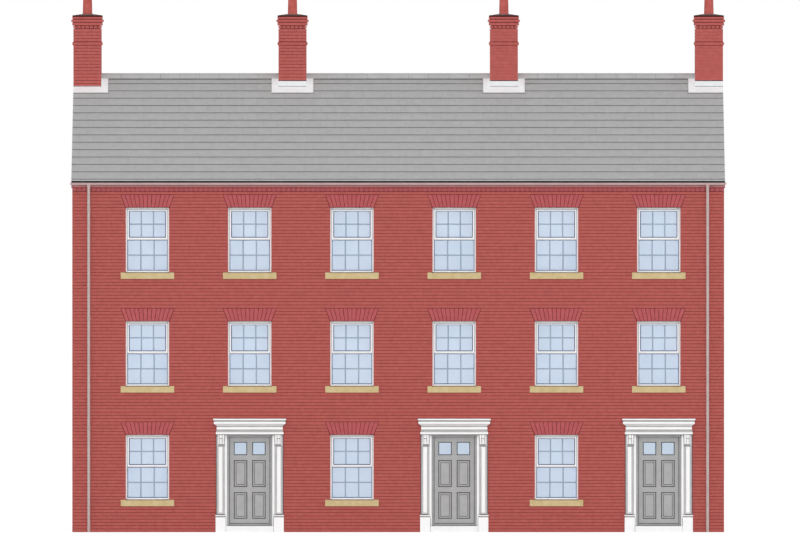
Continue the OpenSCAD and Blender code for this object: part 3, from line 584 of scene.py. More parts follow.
# Beds of the eaves' dentil course and of the plain course over it
eaves_beds = Solid()
for at in (front, rear):
    eaves_beds.block(-HALF_L, HALF_L, 7.8625, 7.875, -0.001, 0.0076, at)
    eaves_beds.block(-ROOF_HALF_L, ROOF_HALF_L, 7.953, 7.9625, 0.02, 0.0282, at)
eaves_beds.build("eaves_bedding", "mortar", "brick")

# Stone sills with a weathered top between level stools, and a throat underneath. The weathered top is
# coloured darker, painted shade under the window frame.
stool = [(-SILL_H, -0.2), (-SILL_H, 0.022), (-SILL_H + 0.008, 0.022), (-SILL_H + 0.008, 0.034),
         (-SILL_H, 0.034), (-SILL_H, 0.047), (-SILL_H + 0.003, 0.05), (-0.004, 0.05),
         (0, 0.046), (0, -0.1025), (0, -0.2)]
weathered = [(v - (0.014 if n in (7, 8) else 0), w) for n, (v, w) in enumerate(stool)]
stations = [(-ARCH_END, stool), (-HALF_W - 0.004, stool), (-HALF_W, weathered),
            (HALF_W, weathered), (HALF_W + 0.004, stool), (ARCH_END, stool)]
sills = Solid()
for at, u, z in WINDOWS:
    sills.loft([[at(u + x, z + v, w) for v, w in ring] for x, ring in stations],
               mark=[0] * 8 + [1, 1, 0])
sills.build("stone_sills", "stone worn_stone", "sill_stone", ["window_sills"])

# Sash windows: gaskets, glazing bars between seals, mastic round the frame, and a timber nose. The
# gaskets, seals and mastic are real parts made dark and wide as painted shadow lines along the glass,
# the bars and the reveals, and the dark strips on the rails and at the sash gaps are painted shadow
# only.
GASKET_OUT = 0.005
GASKET_IN = 0.006
SEAL_W = 0.0062
BAR_FOOT = 0.0055
BAR_FACE = 0.004
FRAME_BACK = -0.1045
MASTIC_SHADOW_W = 0.0035
MASTIC_SHADOW = [(0, FRAME_BACK), (0, -0.099), (MASTIC_SHADOW_W - 0.002, -0.0985), (MASTIC_SHADOW_W, -0.1022),
          (MASTIC_SHADOW_W, FRAME_BACK)]
SASH_NOSE = [(0.013, FRAME_BACK), (0.013, -0.092), (0.02, -0.092), (0.024, FRAME_BACK)]
NOSE_END = HALF_W - MASTIC_SHADOW_W + 0.001
FRAME_IN = HALF_W - 0.0445
MEETING = 0.768
# Half width, low and high edge of a sash's glass, depth of the sash's face and of the glass
UPPER_SASH = (0.4185, 0.815, 1.4135, -0.1225, -0.1405)
LOWER_SASH = (0.458, 0.052, 0.744, -0.1705, -0.1885)


def bar_section(t, face, pane_w):
    """Glazing bar across its length, in (place, w)."""
    return [(t - BAR_FOOT, pane_w - 0.001), (t - BAR_FOOT, pane_w + 0.003), (t - BAR_FACE, face),
            (t + BAR_FACE, face), (t + BAR_FOOT, pane_w + 0.003), (t + BAR_FOOT, pane_w - 0.001)]


joinery, seals_and_shadows, beads = Solid(), Solid(), Solid()
for at, u, z in WINDOWS:
    here = moved(at, u, z)
    # Dark mastic round the frame: a sealant joint coloured as the painted shadow of the reveals
    beads.border(-HALF_W, HALF_W, 0, WINDOW_H, MASTIC_SHADOW, here)
    joinery.rail(SASH_NOSE, -NOSE_END, NOSE_END, here, 1)
    half, lo, hi, face = UPPER_SASH[:4]
    stile = half + GASKET_OUT
    for side in (-1, 1):
        # Strips at the gaps between sash and frame, grey above the meeting rail and in the seal
        # colour below: painted shadow
        seals_and_shadows.block(side * (FRAME_IN + 0.0115), side * (FRAME_IN + 0.0005), MEETING,
                    WINDOW_H - 0.034, -0.1035, -0.1015, here, 1)
        seals_and_shadows.block(side * (FRAME_IN + 0.0062), side * (FRAME_IN + 0.0003), 0.026, MEETING,
                    -0.1035, -0.1015, here)
        seals_and_shadows.block(side * (stile - 0.0005), side * (stile + 0.007), lo, hi, face - 0.001,
                    face + 0.0012, here)
    # Grey strip under the frame's head: painted shade
    seals_and_shadows.block(-FRAME_IN, FRAME_IN, WINDOW_H - 0.0585, WINDOW_H - 0.0445, -0.1235, -0.1212,
                here, 1)
    for half, lo, hi, face, pane_w in (UPPER_SASH, LOWER_SASH):
        seals_and_shadows.border(-half, half, lo, hi,
                     [(-GASKET_OUT, face - 0.001), (-GASKET_OUT, face + 0.0012),
                      (0.001, face + 0.0012), (GASKET_IN, pane_w + 0.004),
                      (GASKET_IN, pane_w - 0.001), (0, pane_w - 0.001)], here)
        # Dark strip on the rail under the glass: a painted shadow line
        seals_and_shadows.block(-half - GASKET_OUT, half + GASKET_OUT, lo - GASKET_OUT - 0.008,
                    lo - GASKET_OUT + 0.0005, face - 0.001, face + 0.0012, here)
        mid = (lo + hi) / 2
        for x in (-half / 3, half / 3):
            # Bars with grey-blue faces: painted shade of white bars
            joinery.post(bar_section(x, face - 0.003, pane_w), lo + 0.002, hi - 0.002, here)
            # Dark strips beside the bars: painted shadow lines
            for near in (x - BAR_FOOT, x + BAR_FOOT + SEAL_W):
                seals_and_shadows.block(near - SEAL_W, near, lo + 0.004, hi - 0.004, pane_w - 0.0005,
                            pane_w + 0.0015, here)
        joinery.rail(bar_section(mid, face - 0.0045, pane_w), -half + 0.002, half - 0.002, here)
        for near in (mid - BAR_FOOT, mid + BAR_FOOT + SEAL_W):
            seals_and_shadows.block(-half + 0.004, half - 0.004, near - SEAL_W, near, pane_w - 0.0005,
                        pane_w + 0.0013, here)
joinery.build("glazing_bars", "bar_paint white_paint", "white_paint")
seals_and_shadows.build("glazing_seals_and_shadows", "seal sash_gap", "white_paint")
beads.build("frame_mastic_and_shadow", "mastic", "white_paint")

# Roof tiles in fourteen courses on each slope, cut round the lead of the stacks
GAUGE = 0.3382
TILE_ROWS = 14
ROW_TILES = 46
TILE_W = 2 * ROOF_HALF_L / ROW_TILES
TILE_L = 0.362
TILE_JOINT = 0.0008
TAIL_TOP, TAIL_FOOT, HEAD_TOP, HEAD_FOOT = 0.025, 0.0065, 0.0027, 0.0004
EAVES_TILE = [(-0.008, 0.0004), (-0.008, 0.006), (0.2, 0.002), (0.2, 0.0004)]
FIRST_TAIL = 0.0359
LEAD_HALF_W = STACK_W + 0.165
LEAD_S = (ROOF_EDGE - 0.697) / math.cos(PITCH)
RIDGE_S = ROOF_EDGE / math.cos(PITCH) - 0.01


def on_slope(outline):
    """Outline over the tile bed, from (s up the slope, h square to it) to (y, z)."""
    return [(ROOF_EDGE - s * math.cos(PITCH) + h * math.sin(PITCH),
             BED_EDGE + s * math.sin(PITCH) + h * math.cos(PITCH)) for s, h in outline]


def lay_tile(solid, x0, x1, s0, stop, side, lift):
    """One tile, thick at its tail and thin at its head, with its tail edge darker as painted shade.
    """
    s1 = min(s0 + TILE_L, stop)
    t = (s1 - s0) / TILE_L
    top = TAIL_TOP + (HEAD_TOP - TAIL_TOP) * t
    foot = TAIL_FOOT + (HEAD_FOOT - TAIL_FOOT) * t
    outline = [(s0 + 0.004, TAIL_TOP), (s1, top), (s1, foot), (s0, TAIL_FOOT),
               (s0, TAIL_TOP - 0.004)]
    solid.along(on_slope([(s, h + lift) for s, h in outline]), x0, x1, side, [0, 0, 0, 1, 0])


def split(x0, x1, bars):
    """Parts of x0 to x1 outside and inside the bars."""
    points = sorted({x0, x1} | {p for bar in bars for p in bar if x0 < p < x1})
    return [(a, b, any(lo < (a + b) / 2 < hi for lo, hi in bars))
            for a, b in zip(points, points[1:])]


lead_bars = [(x - LEAD_HALF_W + 0.008, x + LEAD_HALF_W - 0.008) for x in STACKS]
for name, side in (("front_roof_tiles", -1), ("rear_roof_tiles", 1)):
    tiles = Solid()
    for k in range(ROW_TILES):
        x0 = -ROOF_HALF_L + k * TILE_W
        tiles.along(on_slope(EAVES_TILE), x0 + TILE_JOINT, x0 + TILE_W - TILE_JOINT, side)
    for row in range(TILE_ROWS):
        s0 = FIRST_TAIL + row * GAUGE
        edges = [-ROOF_HALF_L]
        x = -ROOF_HALF_L + (TILE_W / 2 if row % 2 else TILE_W)
        while x < ROOF_HALF_L - 0.01:
            edges.append(x)
            x += TILE_W
        edges.append(ROOF_HALF_L)
        for a, b in zip(edges, edges[1:]):
            lift = dice.uniform(0, 0.0006)
            x0 = a + (TILE_JOINT if a > -ROOF_HALF_L else 0)
            x1 = b - (TILE_JOINT if b < ROOF_HALF_L else 0)
            bars = lead_bars if s0 + TILE_L > LEAD_S else []
            for p, q, under in split(x0, x1, bars):
                stop = LEAD_S + 0.01 if under else RIDGE_S
                if q - p > 0.01 and stop - s0 > 0.02:
                    lay_tile(tiles, p, q, s0, stop, side, lift)
    tiles.build(name, "tile tile_edge", "roof_tile")

# Ridge tiles in short lengths on a bed of mortar, the bed coloured dark grey as the painted shadow
# line under the ridge
RIDGE_R = 0.15
RIDGE_L = 0.457
APEX_BED = BED_EDGE + ROOF_EDGE * SLOPE
RIDGE_AXIS = APEX_BED + 0.07 - RIDGE_R
fillet_s = (ROOF_EDGE - RIDGE_R) / math.cos(PITCH)
FILLET = [(fillet_s - 0.022, 0.012), (fillet_s - 0.022, 0.02), (fillet_s - 0.014, 0.026),
          (fillet_s + 0.01, 0.032), (fillet_s + 0.014, 0.012)]


def ridge_outline(radius):
    """Half round down to the tile bed, in (y, z)."""
    apex = APEX_BED + 0.0003
    drop = apex - RIDGE_AXIS
    # where the circle meets the slope: y * y + (drop - y * SLOPE) ** 2 = radius ** 2
    a, b, c = 1 + SLOPE ** 2, -2 * drop * SLOPE, drop ** 2 - radius ** 2
    out = (-b + math.sqrt(b * b - 4 * a * c)) / (2 * a)
    start = math.atan2(drop - out * SLOPE, out)
    arc = [start + (math.pi - 2 * start) * i / 28 for i in range(29)]
    points = [(radius * math.cos(t), RIDGE_AXIS + radius * math.sin(t)) for t in arc]
    return points + [(0, apex)]


ridge, ridge_bed_shade = Solid(), Solid()
for left, right in zip(STACKS, STACKS[1:]):
    x0, x1 = left + STACK_W, right - STACK_W
    for side in (-1, 1):
        ridge_bed_shade.along(on_slope(FILLET), left + LEAD_HALF_W, right - LEAD_HALF_W, side)
    ridge_bed_shade.along(ridge_outline(RIDGE_R - 0.008), x0, x1)
    count = round((x1 - x0) / RIDGE_L)
    step = (x1 - x0) / count
    for i in range(count):
        p = x0 + i * step + (0.002 if i else 0)
        q = x0 + (i + 1) * step - (0.002 if i < count - 1 else 0)
        ridge.loft([[(x, y, z) for y, z in ridge_outline(r)]
                    for x, r in ((p, RIDGE_R - 0.003), (p + 0.004, RIDGE_R),
                                 (q - 0.004, RIDGE_R), (q, RIDGE_R - 0.003))])
ridge.build("ridge_lengths", "ridge_clay", "roof_tile", ["ridge_tiles"], smooth=35)
ridge_bed_shade.build("ridge_bedding_shade", "tile_edge", "roof_tile", ["ridge_tiles"], smooth=35)

# Gutters in lengths with unions, clips, closed ends and outlets
GUTTER_Y = ROOF_EDGE + 0.0575
GUTTER_Z = 8.0785
GUTTER_END = ROOF_HALF_L + 0.025
UNIONS = [-5.4125, -3.2475, -1.0825, 1.0825, 3.2475, 5.4125]
PIPES = [-7.147, 7.147]
# Sides of the gutter's lower half that take the paler paint, painted light against the shade under
# the half round
LIGHTENED_BELLY = [1 if 4 <= i <= 15 else 0 for i in range(42)]
OUTLET = [(0.0345, 0), (0.0395, 0), (0.0395, 0.05), (0.0465, 0.075), (0.0465, 0.09),
          (0.0345, 0.09)]
SOCKET = [(0.0342, 0), (0.0372, 0), (0.0385, 0.006), (0.0385, 0.052), (0.041, 0.056),
          (0.041, 0.066), (0.0385, 0.07), (0.0342, 0.07)]


def bowl(radius):
    """Gutter's half round from back to front, a little fuller at its shoulders, in (y, z)."""
    turns = [math.pi + math.pi * i / 20 for i in range(21)]
    return [(GUTTER_Y + math.copysign(radius * abs(math.cos(t)) ** 0.75, math.cos(t)),
             GUTTER_Z - radius * abs(math.sin(t)) ** 0.75) for t in turns]


def channel(outer, inner):
    """Section of a gutter, in (y, z)."""
    return bowl(outer) + bowl(inner)[::-1]


gutters, fittings, sockets = Solid(), Solid(), Solid()
for side in (-1, 1):
    stops = [-GUTTER_END] + UNIONS + [GUTTER_END]
    for a, b in zip(stops, stops[1:]):
        gutters.along(channel(0.0545, 0.051), a + (0.0025 if a > -GUTTER_END else 0.003),
                      b - (0.0025 if b < GUTTER_END else 0.003), side, LIGHTENED_BELLY)
    for x in UNIONS:
        fittings.along(channel(0.0572, 0.0543), x - 0.05, x + 0.05, side, LIGHTENED_BELLY)
    for x in [-GUTTER_END + 0.2] + UNIONS:
        for clip_x in (x + 0.72, x + 1.44):
            fittings.along(channel(0.0565, 0.0543), clip_x - 0.012, clip_x + 0.012, side, LIGHTENED_BELLY)
    for x in (-GUTTER_END, GUTTER_END - 0.004):
        fittings.along(bowl(0.0572), x, x + 0.004, side)
    for x in PIPES:
        fittings.lathe(OUTLET, x, side * GUTTER_Y, 7.945)
        for z in (2.36, 4.9, 7.46):
            sockets.lathe(SOCKET, x, side * GUTTER_Y, z)

# Eaves: dark felt tray over the gutter's back, widened and black as painted shadow between tiles and
# gutter, pale fillet, the gutter's lip in black as a painted shadow line, and a pale bead as painted
# light
TRAY_TOP = 8.1165
TRAY = [(ROOF_EDGE + 0.0005, TRAY_TOP), (ROOF_EDGE + 0.006, TRAY_TOP), (ROOF_EDGE + 0.024, 8.06),
        (ROOF_EDGE + 0.021, 8.06), (ROOF_EDGE + 0.0045, 8.09), (ROOF_EDGE + 0.0005, 8.091)]
EAVES_STRIPS = [(ROOF_EDGE + 0.0004, ROOF_EDGE + 0.0068, TRAY_TOP - 0.0005, 8.1275, ROOF_HALF_L, 1),
                (GUTTER_Y + 0.0535, GUTTER_Y + 0.0575, GUTTER_Z - 0.004, GUTTER_Z + 0.0005,
                 GUTTER_END, 0),
                (EAVES_FACE - 0.0005, EAVES_FACE + 0.002, 7.983, 7.988, ROOF_HALF_L, 2)]
trays = Solid()
for side in (-1, 1):
    trays.along(TRAY, -ROOF_HALF_L, ROOF_HALF_L, side)
    for y0, y1, z0, z1, end, mark in EAVES_STRIPS:
        trays.along([(y0, z0), (y1, z0), (y1, z1), (y0, z1)], -end, end, side, mark)
trays.build("eaves_trays", "felt lead gutter_belly", "roof_tile")
gutters.build("gutter_lengths", "gutter_paint gutter_belly", "gutter_paint", ["gutters"], smooth=30)
fittings.build("gutter_fittings", "gutter_paint gutter_belly", "gutter_paint", ["gutters"], smooth=30)
sockets.build("pipe_sockets", "pipe_paint", "pipe_paint", smooth=35)

# Chimney stacks: brick shafts, rounded string course and cap, dentils, flaunching and pots
SKIN = 0.008
DENTIL_W = 0.074
DENTIL_IN = 0.028
POT_HOLE = 0.1225
POT_Y = 0.2
FLAUNCHING = [(CAP_TOP, STACK_W + 0.0115, STACK_D + 0.0115),
              (CAP_TOP + 0.0132, STACK_W + 0.0115, STACK_D + 0.0115),
              (CAP_TOP + 0.042, POT_HOLE + 0.02, POT_Y + POT_HOLE + 0.02),
              (CAP_TOP + 0.044, POT_HOLE, POT_Y + POT_HOLE)]
POT = [(0.0725, 0), (0.1115, 0), (0.1115, 0.028), (0.1085, 0.034), (0.1055, 0.19),
       (0.1025, 0.3), (0.101, 0.345), (0.106, 0.35), (0.106, 0.362), (0.101, 0.368),
       (0.1005, 0.402), (0.105, 0.408), (0.111, 0.417), (0.112, 0.425), (0.112, 0.438),
       (0.1085, 0.446), (0.102, 0.45), (0.088, 0.45), (0.079, 0.446), (0.0725, 0.438)]


def stack_faces(x):
    """Maps of a stack's four faces with half the width of each."""
    return [
        (lambda u, v, w: (x + u, -STACK_D - w, v), STACK_W, 0),
        (lambda u, v, w: (x - u, STACK_D + w, v), STACK_W, 0),
        (lambda u, v, w: (x - STACK_W - w, -u, v), STACK_D, 1),
        (lambda u, v, w: (x + STACK_W + w, u, v), STACK_D, 1),
    ]


def upwards(u, v, w):
    return (u, w, v)


def slab(solid, x, levels, mark=0):
    """Slab of a stack: (level, how far it stands out from the shaft)."""
    solid.tiers([(z, x - STACK_W - out, x + STACK_W + out, -STACK_D - out, STACK_D + out)
                 for z, out in levels], upwards, mark)


def bullnose(z0, z1, out, radius):
    """Levels of a course with rounded edges."""
    arc = [(radius * (1 - math.sin(t)), out - radius * (1 - math.cos(t)))
           for t in (math.pi / 10 * i for i in range(6))]
    return [(z0 + h, d) for h, d in arc[::-1]] + [(z1 - h, d) for h, d in arc]


shafts, cores, caps, tops, pots = Solid(), Solid(), Solid(), Solid(), Solid()
for x in STACKS:
    joints = 2 if x > 0 else 0
    slab(cores, x, [(STACK_FOOT, -SKIN), (STRING_LOW, -SKIN)], joints)
    slab(cores, x, [(STRING_TOP, -SKIN), (CAP_LOW - COURSE, -SKIN)], joints)
    slab(cores, x, [(CAP_LOW - COURSE, -DENTIL_IN), (CAP_LOW, -DENTIL_IN)], 1)
    for at, half, parity in stack_faces(x):
        reach = half if parity == 0 else half - SKIN
        ends = (upright(-reach), upright(reach))
        for first, last in ((SEAT_COURSE, STRING_COURSE), (STRING_COURSE + 1, DENTILS_COURSE)):
            lay_bricks(shafts, at, half, first, last, ends, [], parity, -SKIN, 0)
        count = round(2 * half / 0.096)
        gap = (2 * half - count * DENTIL_W) / (count - 1)
        for i in range(count):
            u = -half + i * (DENTIL_W + gap)
            if parity == 0 or 0 < i < count - 1:
                shafts.block(u, u + DENTIL_W, CAP_LOW - 0.064, CAP_LOW - 0.01, -DENTIL_IN, 0, at)
    slab(caps, x, bullnose(STRING_LOW - 0.004, STRING_TOP - 0.012, 0.023, 0.014))
    slab(cores, x, [(STRING_LOW - 0.014, 0.0008), (STRING_LOW - 0.0045, 0.0008)])
    slab(caps, x, bullnose(CAP_LOW + 0.002, CAP_LOW + COURSE - 0.004, 0.024, 0.012))
    slab(caps, x, bullnose(CAP_LOW + COURSE + 0.005, CAP_TOP - COURSE - 0.01, 0.048, 0.018))
    slab(caps, x, bullnose(CAP_TOP - COURSE + 0.003, CAP_TOP - 0.021, 0.024, 0.012))
    slab(cores, x, [(CAP_LOW, 0.014), (CAP_TOP - 0.022, 0.014)])
    slab(cores, x, [(STRING_LOW, 0.008), (STRING_TOP, 0.008)])
    slab(tops, x, [(CAP_TOP - 0.023, 0.018), (CAP_TOP - 0.018, 0.022), (CAP_TOP + 0.01, 0.018),
                   (CAP_TOP + 0.0135, 0.014), (CAP_TOP + 0.005, 0.012)], 1)
    tops.tiers([(z, x - a, x + a, -b, b) for z, a, b in FLAUNCHING], upwards)
    for y in (-POT_Y, POT_Y):
        pots.lathe(POT, x, y, CAP_TOP + 0.025, 48)
shafts.build("stack_bricks", "chimney_brick", "chimney_brick", ["chimney_shafts", "chimney_necks"])
cores.build("stack_mortar", "mortar dentil_bed flush_mortar", "chimney_brick",
            ["chimney_shafts", "chimney_necks"])
caps.build("stack_mouldings", "chimney_brick", "chimney_brick",
           ["chimney_string_courses", "chimney_caps"], smooth=40)
tops.build("stack_flaunching", "flaunching flaunching_rim", "chimney_brick", ["chimney_caps"])
pots.build("stack_pots", "clay", "pot_clay", ["chimney_pots"], smooth=40)

# Lead round the stacks: aprons, side strips with welted edges, and stepped upstands, with the lead's
# edges, folds and welts in darker greys as painted shade
LEAD_RISE = 0.03
LEAD_SHEET = 0.005
LEAD_APRON = 0.715
LEAD_IN = 0.15
UPSTAND = 0.134
UPSTAND_TOP = 10.425
POINTING = [(-0.004, -0.015), (0.0058, -0.015), (0.0058, -0.001), (-0.004, 0.003)]
CREASE = [(0.012, -0.021), (0.034, -0.032), (0.022, -0.005)]


def bed_z(y):
    """Level of the tile bed over a place in front of or behind the ridge."""
    return BED_EDGE + (ROOF_EDGE - y) * SLOPE


def lead_sheet(solid, x0, x1, y0, y1, low, high, side, mark=0):
    """Lead on the slope between two distances from the ridge, at heights over the bed, its lower end
    face in the dark edge colour as painted shade.
    """
    ring = [(y1, low), (y1, high), (y0, high), (y0, low)]
    solid.along([(y, bed_z(y) + h) for y, h in ring], x0, x1, side, [1, mark, mark, mark])


flashings = Solid()
foot = bed_z(STACK_D) + LEAD_RISE
for x in STACKS:
    near, far = x - STACK_W, x + STACK_W
    left = max(x - LEAD_HALF_W, -ROOF_HALF_L)
    right = min(x + LEAD_HALF_W, ROOF_HALF_L)
    a, b = max(near - LEAD_SHEET, left), min(far + LEAD_SHEET, right)
    for side in (-1, 1):
        lead_sheet(flashings, left, right, STACK_D, LEAD_APRON, 0.0004, LEAD_RISE, side, 3)
        lead_sheet(flashings, left, right, LEAD_APRON - 0.01, LEAD_APRON + 0.002,
                   0.026, LEAD_RISE + 0.003, side, 3)
        if x != STACKS[0]:
            y0, y1, z0 = STACK_D, STACK_D + LEAD_SHEET, foot - 0.004
            flashings.along([(y0, z0), (y1, z0), (y1, UPSTAND_TOP), (y0, UPSTAND_TOP)], a, b, side)
            pointing = [(STACK_D + d, UPSTAND_TOP + h) for d, h in POINTING]
            flashings.along(pointing, near, far, side, 4)
        flashings.along([(STACK_D + d, foot + h) for d, h in CREASE], a, b, side, 1)
        for edge, outer, turn in ((near, left, -1), (far, right, 1)):
            if abs(outer - edge) < 0.01:
                continue
            x0, x1 = sorted((edge, outer))
            lead_sheet(flashings, x0, x1, LEAD_IN, STACK_D, 0.0004, LEAD_RISE, side, 3)
            w0, w1 = sorted((outer - turn * 0.009, outer))
            lead_sheet(flashings, w0, w1, LEAD_IN, LEAD_APRON - 0.01, LEAD_RISE - 0.001,
                       LEAD_RISE + 0.003, side, 2)
            level = UPSTAND_TOP
            y1 = STACK_D
            while y1 > LEAD_IN + 0.005:
                rise = level + COURSE - LEAD_RISE - UPSTAND - BED_EDGE
                y0 = max(LEAD_IN, ROOF_EDGE - rise / SLOPE)
                step = [(y1, bed_z(y1) + 0.026), (y1, level), (y0, level), (y0, bed_z(y0) + 0.026)]
                flashings.along(step, edge, edge + turn * LEAD_SHEET, side)
                level += COURSE
                y1 = y0
flashings.build("stack_flashings", "lead lead_edge lead_welt lead_apron mastic",
                "lead", ["chimney_flashings"])

# Door surrounds: plinths, pilasters, consoles and entablature, placed from the door's middle
PLINTH_H = 0.409
CONSOLE_LOW = 1.998
DOORWAY = 0.526
STEP_HALF = 0.547
STEP_W = 0.3
# The nosing's bevel takes the grey: a painted shadow line
STEP = [(0, [(0, 0), (0.1455, 0)]),
        ([0, 1, 1, 1], [(0.1455, 0), (0.148, 0.0015), (FLOOR_Z, 0.005)])]
# Marks of the surrounds' looks: white paint, then grey, pale and mid grey bands that are painted
# shade of the recesses and mouldings, and dark lines and joints that are painted shadow lines
WHITE, GREY_SHADE, SHADE, SHADOW_LINE, JOINT_SHADOW, PALE_SHADE = range(6)
# A white top over sides in the dark line colour: a painted shadow line along the edge
DARK_RIM = [WHITE, SHADOW_LINE, SHADOW_LINE, SHADOW_LINE]
PILASTER_BACK = [(0.525, 0), (0.525, 0.025), (0.767, 0.025), (0.77, 0.022), (0.77, 0)]
PILASTER_BEADS = (0.581, 0.594, 0.607, 0.62, 0.727, 0.74, 0.753)
BEAD = [(-0.004, 0.024), (-0.003, 0.033), (0, 0.035), (0.003, 0.033), (0.004, 0.024)]
PILASTER_JOINT_SHADOW = [(0.768, 0), (0.77, 0.012), (0.781, 0.0095), (0.781, 0)]
INNER_MOULDING = [(0.525, 0.024), (0.525, 0.034), (0.53, 0.036), (0.53, 0.041), (0.535, 0.045),
                  (0.561, 0.045), (0.566, 0.041), (0.566, 0.037), (0.573, 0.034), (0.573, 0.024)]
RAISED_STRIP = [(0.63, 0.024), (0.63, 0.046), (0.634, 0.05), (0.641, 0.05), (0.643, 0.055),
                (0.705, 0.055), (0.707, 0.05), (0.714, 0.05), (0.718, 0.046), (0.718, 0.024)]
STRIP_MIDDLE = 0.674
STRIP_ENDS = [(PLINTH_H + 0.018, PLINTH_H + 0.054), (CONSOLE_LOW - 0.054, CONSOLE_LOW - 0.021)]
# The dark and mid grey blocks here are painted shadow lines and painted shade at the pilasters' foot,
# capital and outer edge
PILASTER_BLOCKS = [
    (0.759, 0.7665, PLINTH_H, DOOR_H, 0.024, 0.0262, SHADOW_LINE),
    (0.521, 0.548, FLOOR_Z, PLINTH_H + 0.001, 0, 0.042, WHITE),
    (0.602, 0.743, PLINTH_H - 0.001, PLINTH_H + 0.0105, 0.02, 0.0605, SHADOW_LINE),
    (0.6, 0.745, PLINTH_H + 0.0105, PLINTH_H + 0.024, 0.02, 0.063, SHADE),
    (0.6285, 0.7195, 0.446, 0.452, 0.02, 0.058, SHADOW_LINE),
    (0.6, 0.735, CONSOLE_LOW - 0.018, CONSOLE_LOW, 0.02, 0.063, SHADE),
    (0.602, 0.733, CONSOLE_LOW - 0.022, CONSOLE_LOW - 0.0175, 0.02, 0.0615, SHADOW_LINE),
]
# Levels of the plinths: (v, w), and the outer side lies as much further out as the front. The grey
# and shade tiers are painted shade, and the dark tier a painted shadow line.
PLINTH_IN = 0.547
PLINTH_OUT = 0.708
PLINTH_TIERS = [
    (WHITE, [(0, 0.08), (0.339, 0.08), (0.342, 0.077)]),
    (GREY_SHADE, [(0.342, 0.075), (0.346, 0.075)]),
    (SHADE, [(0.346, 0.075), (0.357, 0.077)]),
    (SHADOW_LINE, [(0.357, 0.073), (0.3695, 0.073)]),
    (WHITE, [(0.3695, 0.083), (0.3715, 0.085), (0.394, 0.085), (0.397, 0.082)]),
]
# Consoles from the side, in (v, w): a core in the dark line colour, painted shade in the grooves
# between the parts, and over it white scrolls, nose and crown
SCROLL_LOW = 2.038
SCROLL = [(SCROLL_LOW, 0.069), (2.052, 0.066), (2.075, 0.069), (2.1, 0.078), (2.125, 0.089),
          (2.15, 0.1), (2.157, 0.103), (2.16, 0.097), (2.165, 0.099), (2.168, 0.107),
          (2.185, 0.113), (2.205, 0.118), (2.225, 0.12), (DOOR_H, 0.12)]
CORE = ([(CONSOLE_LOW, 0.024)]
        + [(v, w - 0.009) for v, w in [(CONSOLE_LOW, 0.058), (2.004, 0.068), (2.02, 0.072)] + SCROLL]
        + [(DOOR_H, 0.024)])
NOSE = SCROLL[:6] + [(2.156, 0.1)]
CROWN = SCROLL[9:]
CYMA = [(2.45 + 0.055 * t, 0.05 * (t - math.sin(2 * math.pi * t) / 7))
        for t in (i / 12 for i in range(13))]
# Entablature: (v, how far it stands out). Its grey, pale and shade tiers are painted shade of the
# mouldings, and its dark tiers painted shadow lines.
ENTABLATURE = [
    (SHADOW_LINE, [(DOOR_H, 0.008), (2.257, 0.008)]),
    (SHADE, [(2.257, 0.008), (2.265, 0.008)]),
    (WHITE, [(2.265, 0.012), (2.27, 0.018), (2.309, 0.018), (2.313, 0.012)]),
    (SHADE, [(2.313, 0), (2.317, 0)]),
    (SHADOW_LINE, [(2.317, 0), (2.32, 0)]),
    (GREY_SHADE, [(2.32, 0), (2.323, 0.009), (2.331, 0.011), (2.337, 0.009), (2.34, -0.002)]),
    (SHADE, [(2.34, -0.003), (2.344, -0.003)]),
    (SHADOW_LINE, [(2.344, -0.003), (2.347, -0.003)]),
    (SHADE, [(2.347, -0.003), (2.352, -0.003)]),
    (GREY_SHADE, [(2.352, 0.006), (2.359, 0.007), (2.364, 0.005)]),
    (SHADE, [(2.364, -0.004), (2.377, -0.004)]),
    (WHITE, [(2.377, 0), (2.427, 0)]),
    (PALE_SHADE, [(2.427, -0.008), (2.434, -0.008)]),
    (SHADOW_LINE, [(2.434, -0.008), (2.4445, -0.008)]),
    (PALE_SHADE, [(2.4445, -0.008), (2.45, -0.008)]),
    (PALE_SHADE, CYMA),
    (WHITE, [(2.505, 0.058), (2.509, 0.065), (2.549, 0.065), (2.552, 0.062)]),
    (SHADE, [(2.552, 0.0514), (2.582, 0.0585)]),
    (SHADOW_LINE, [(2.582, 0.0585), (2.588, 0.06)]),
    (WHITE, [(2.588, 0.075), (2.591, 0.079), (2.622, 0.079)]),
    (DARK_RIM, [(2.622, 0.079), (2.624, 0.079), (2.632, 0.072)]),
]

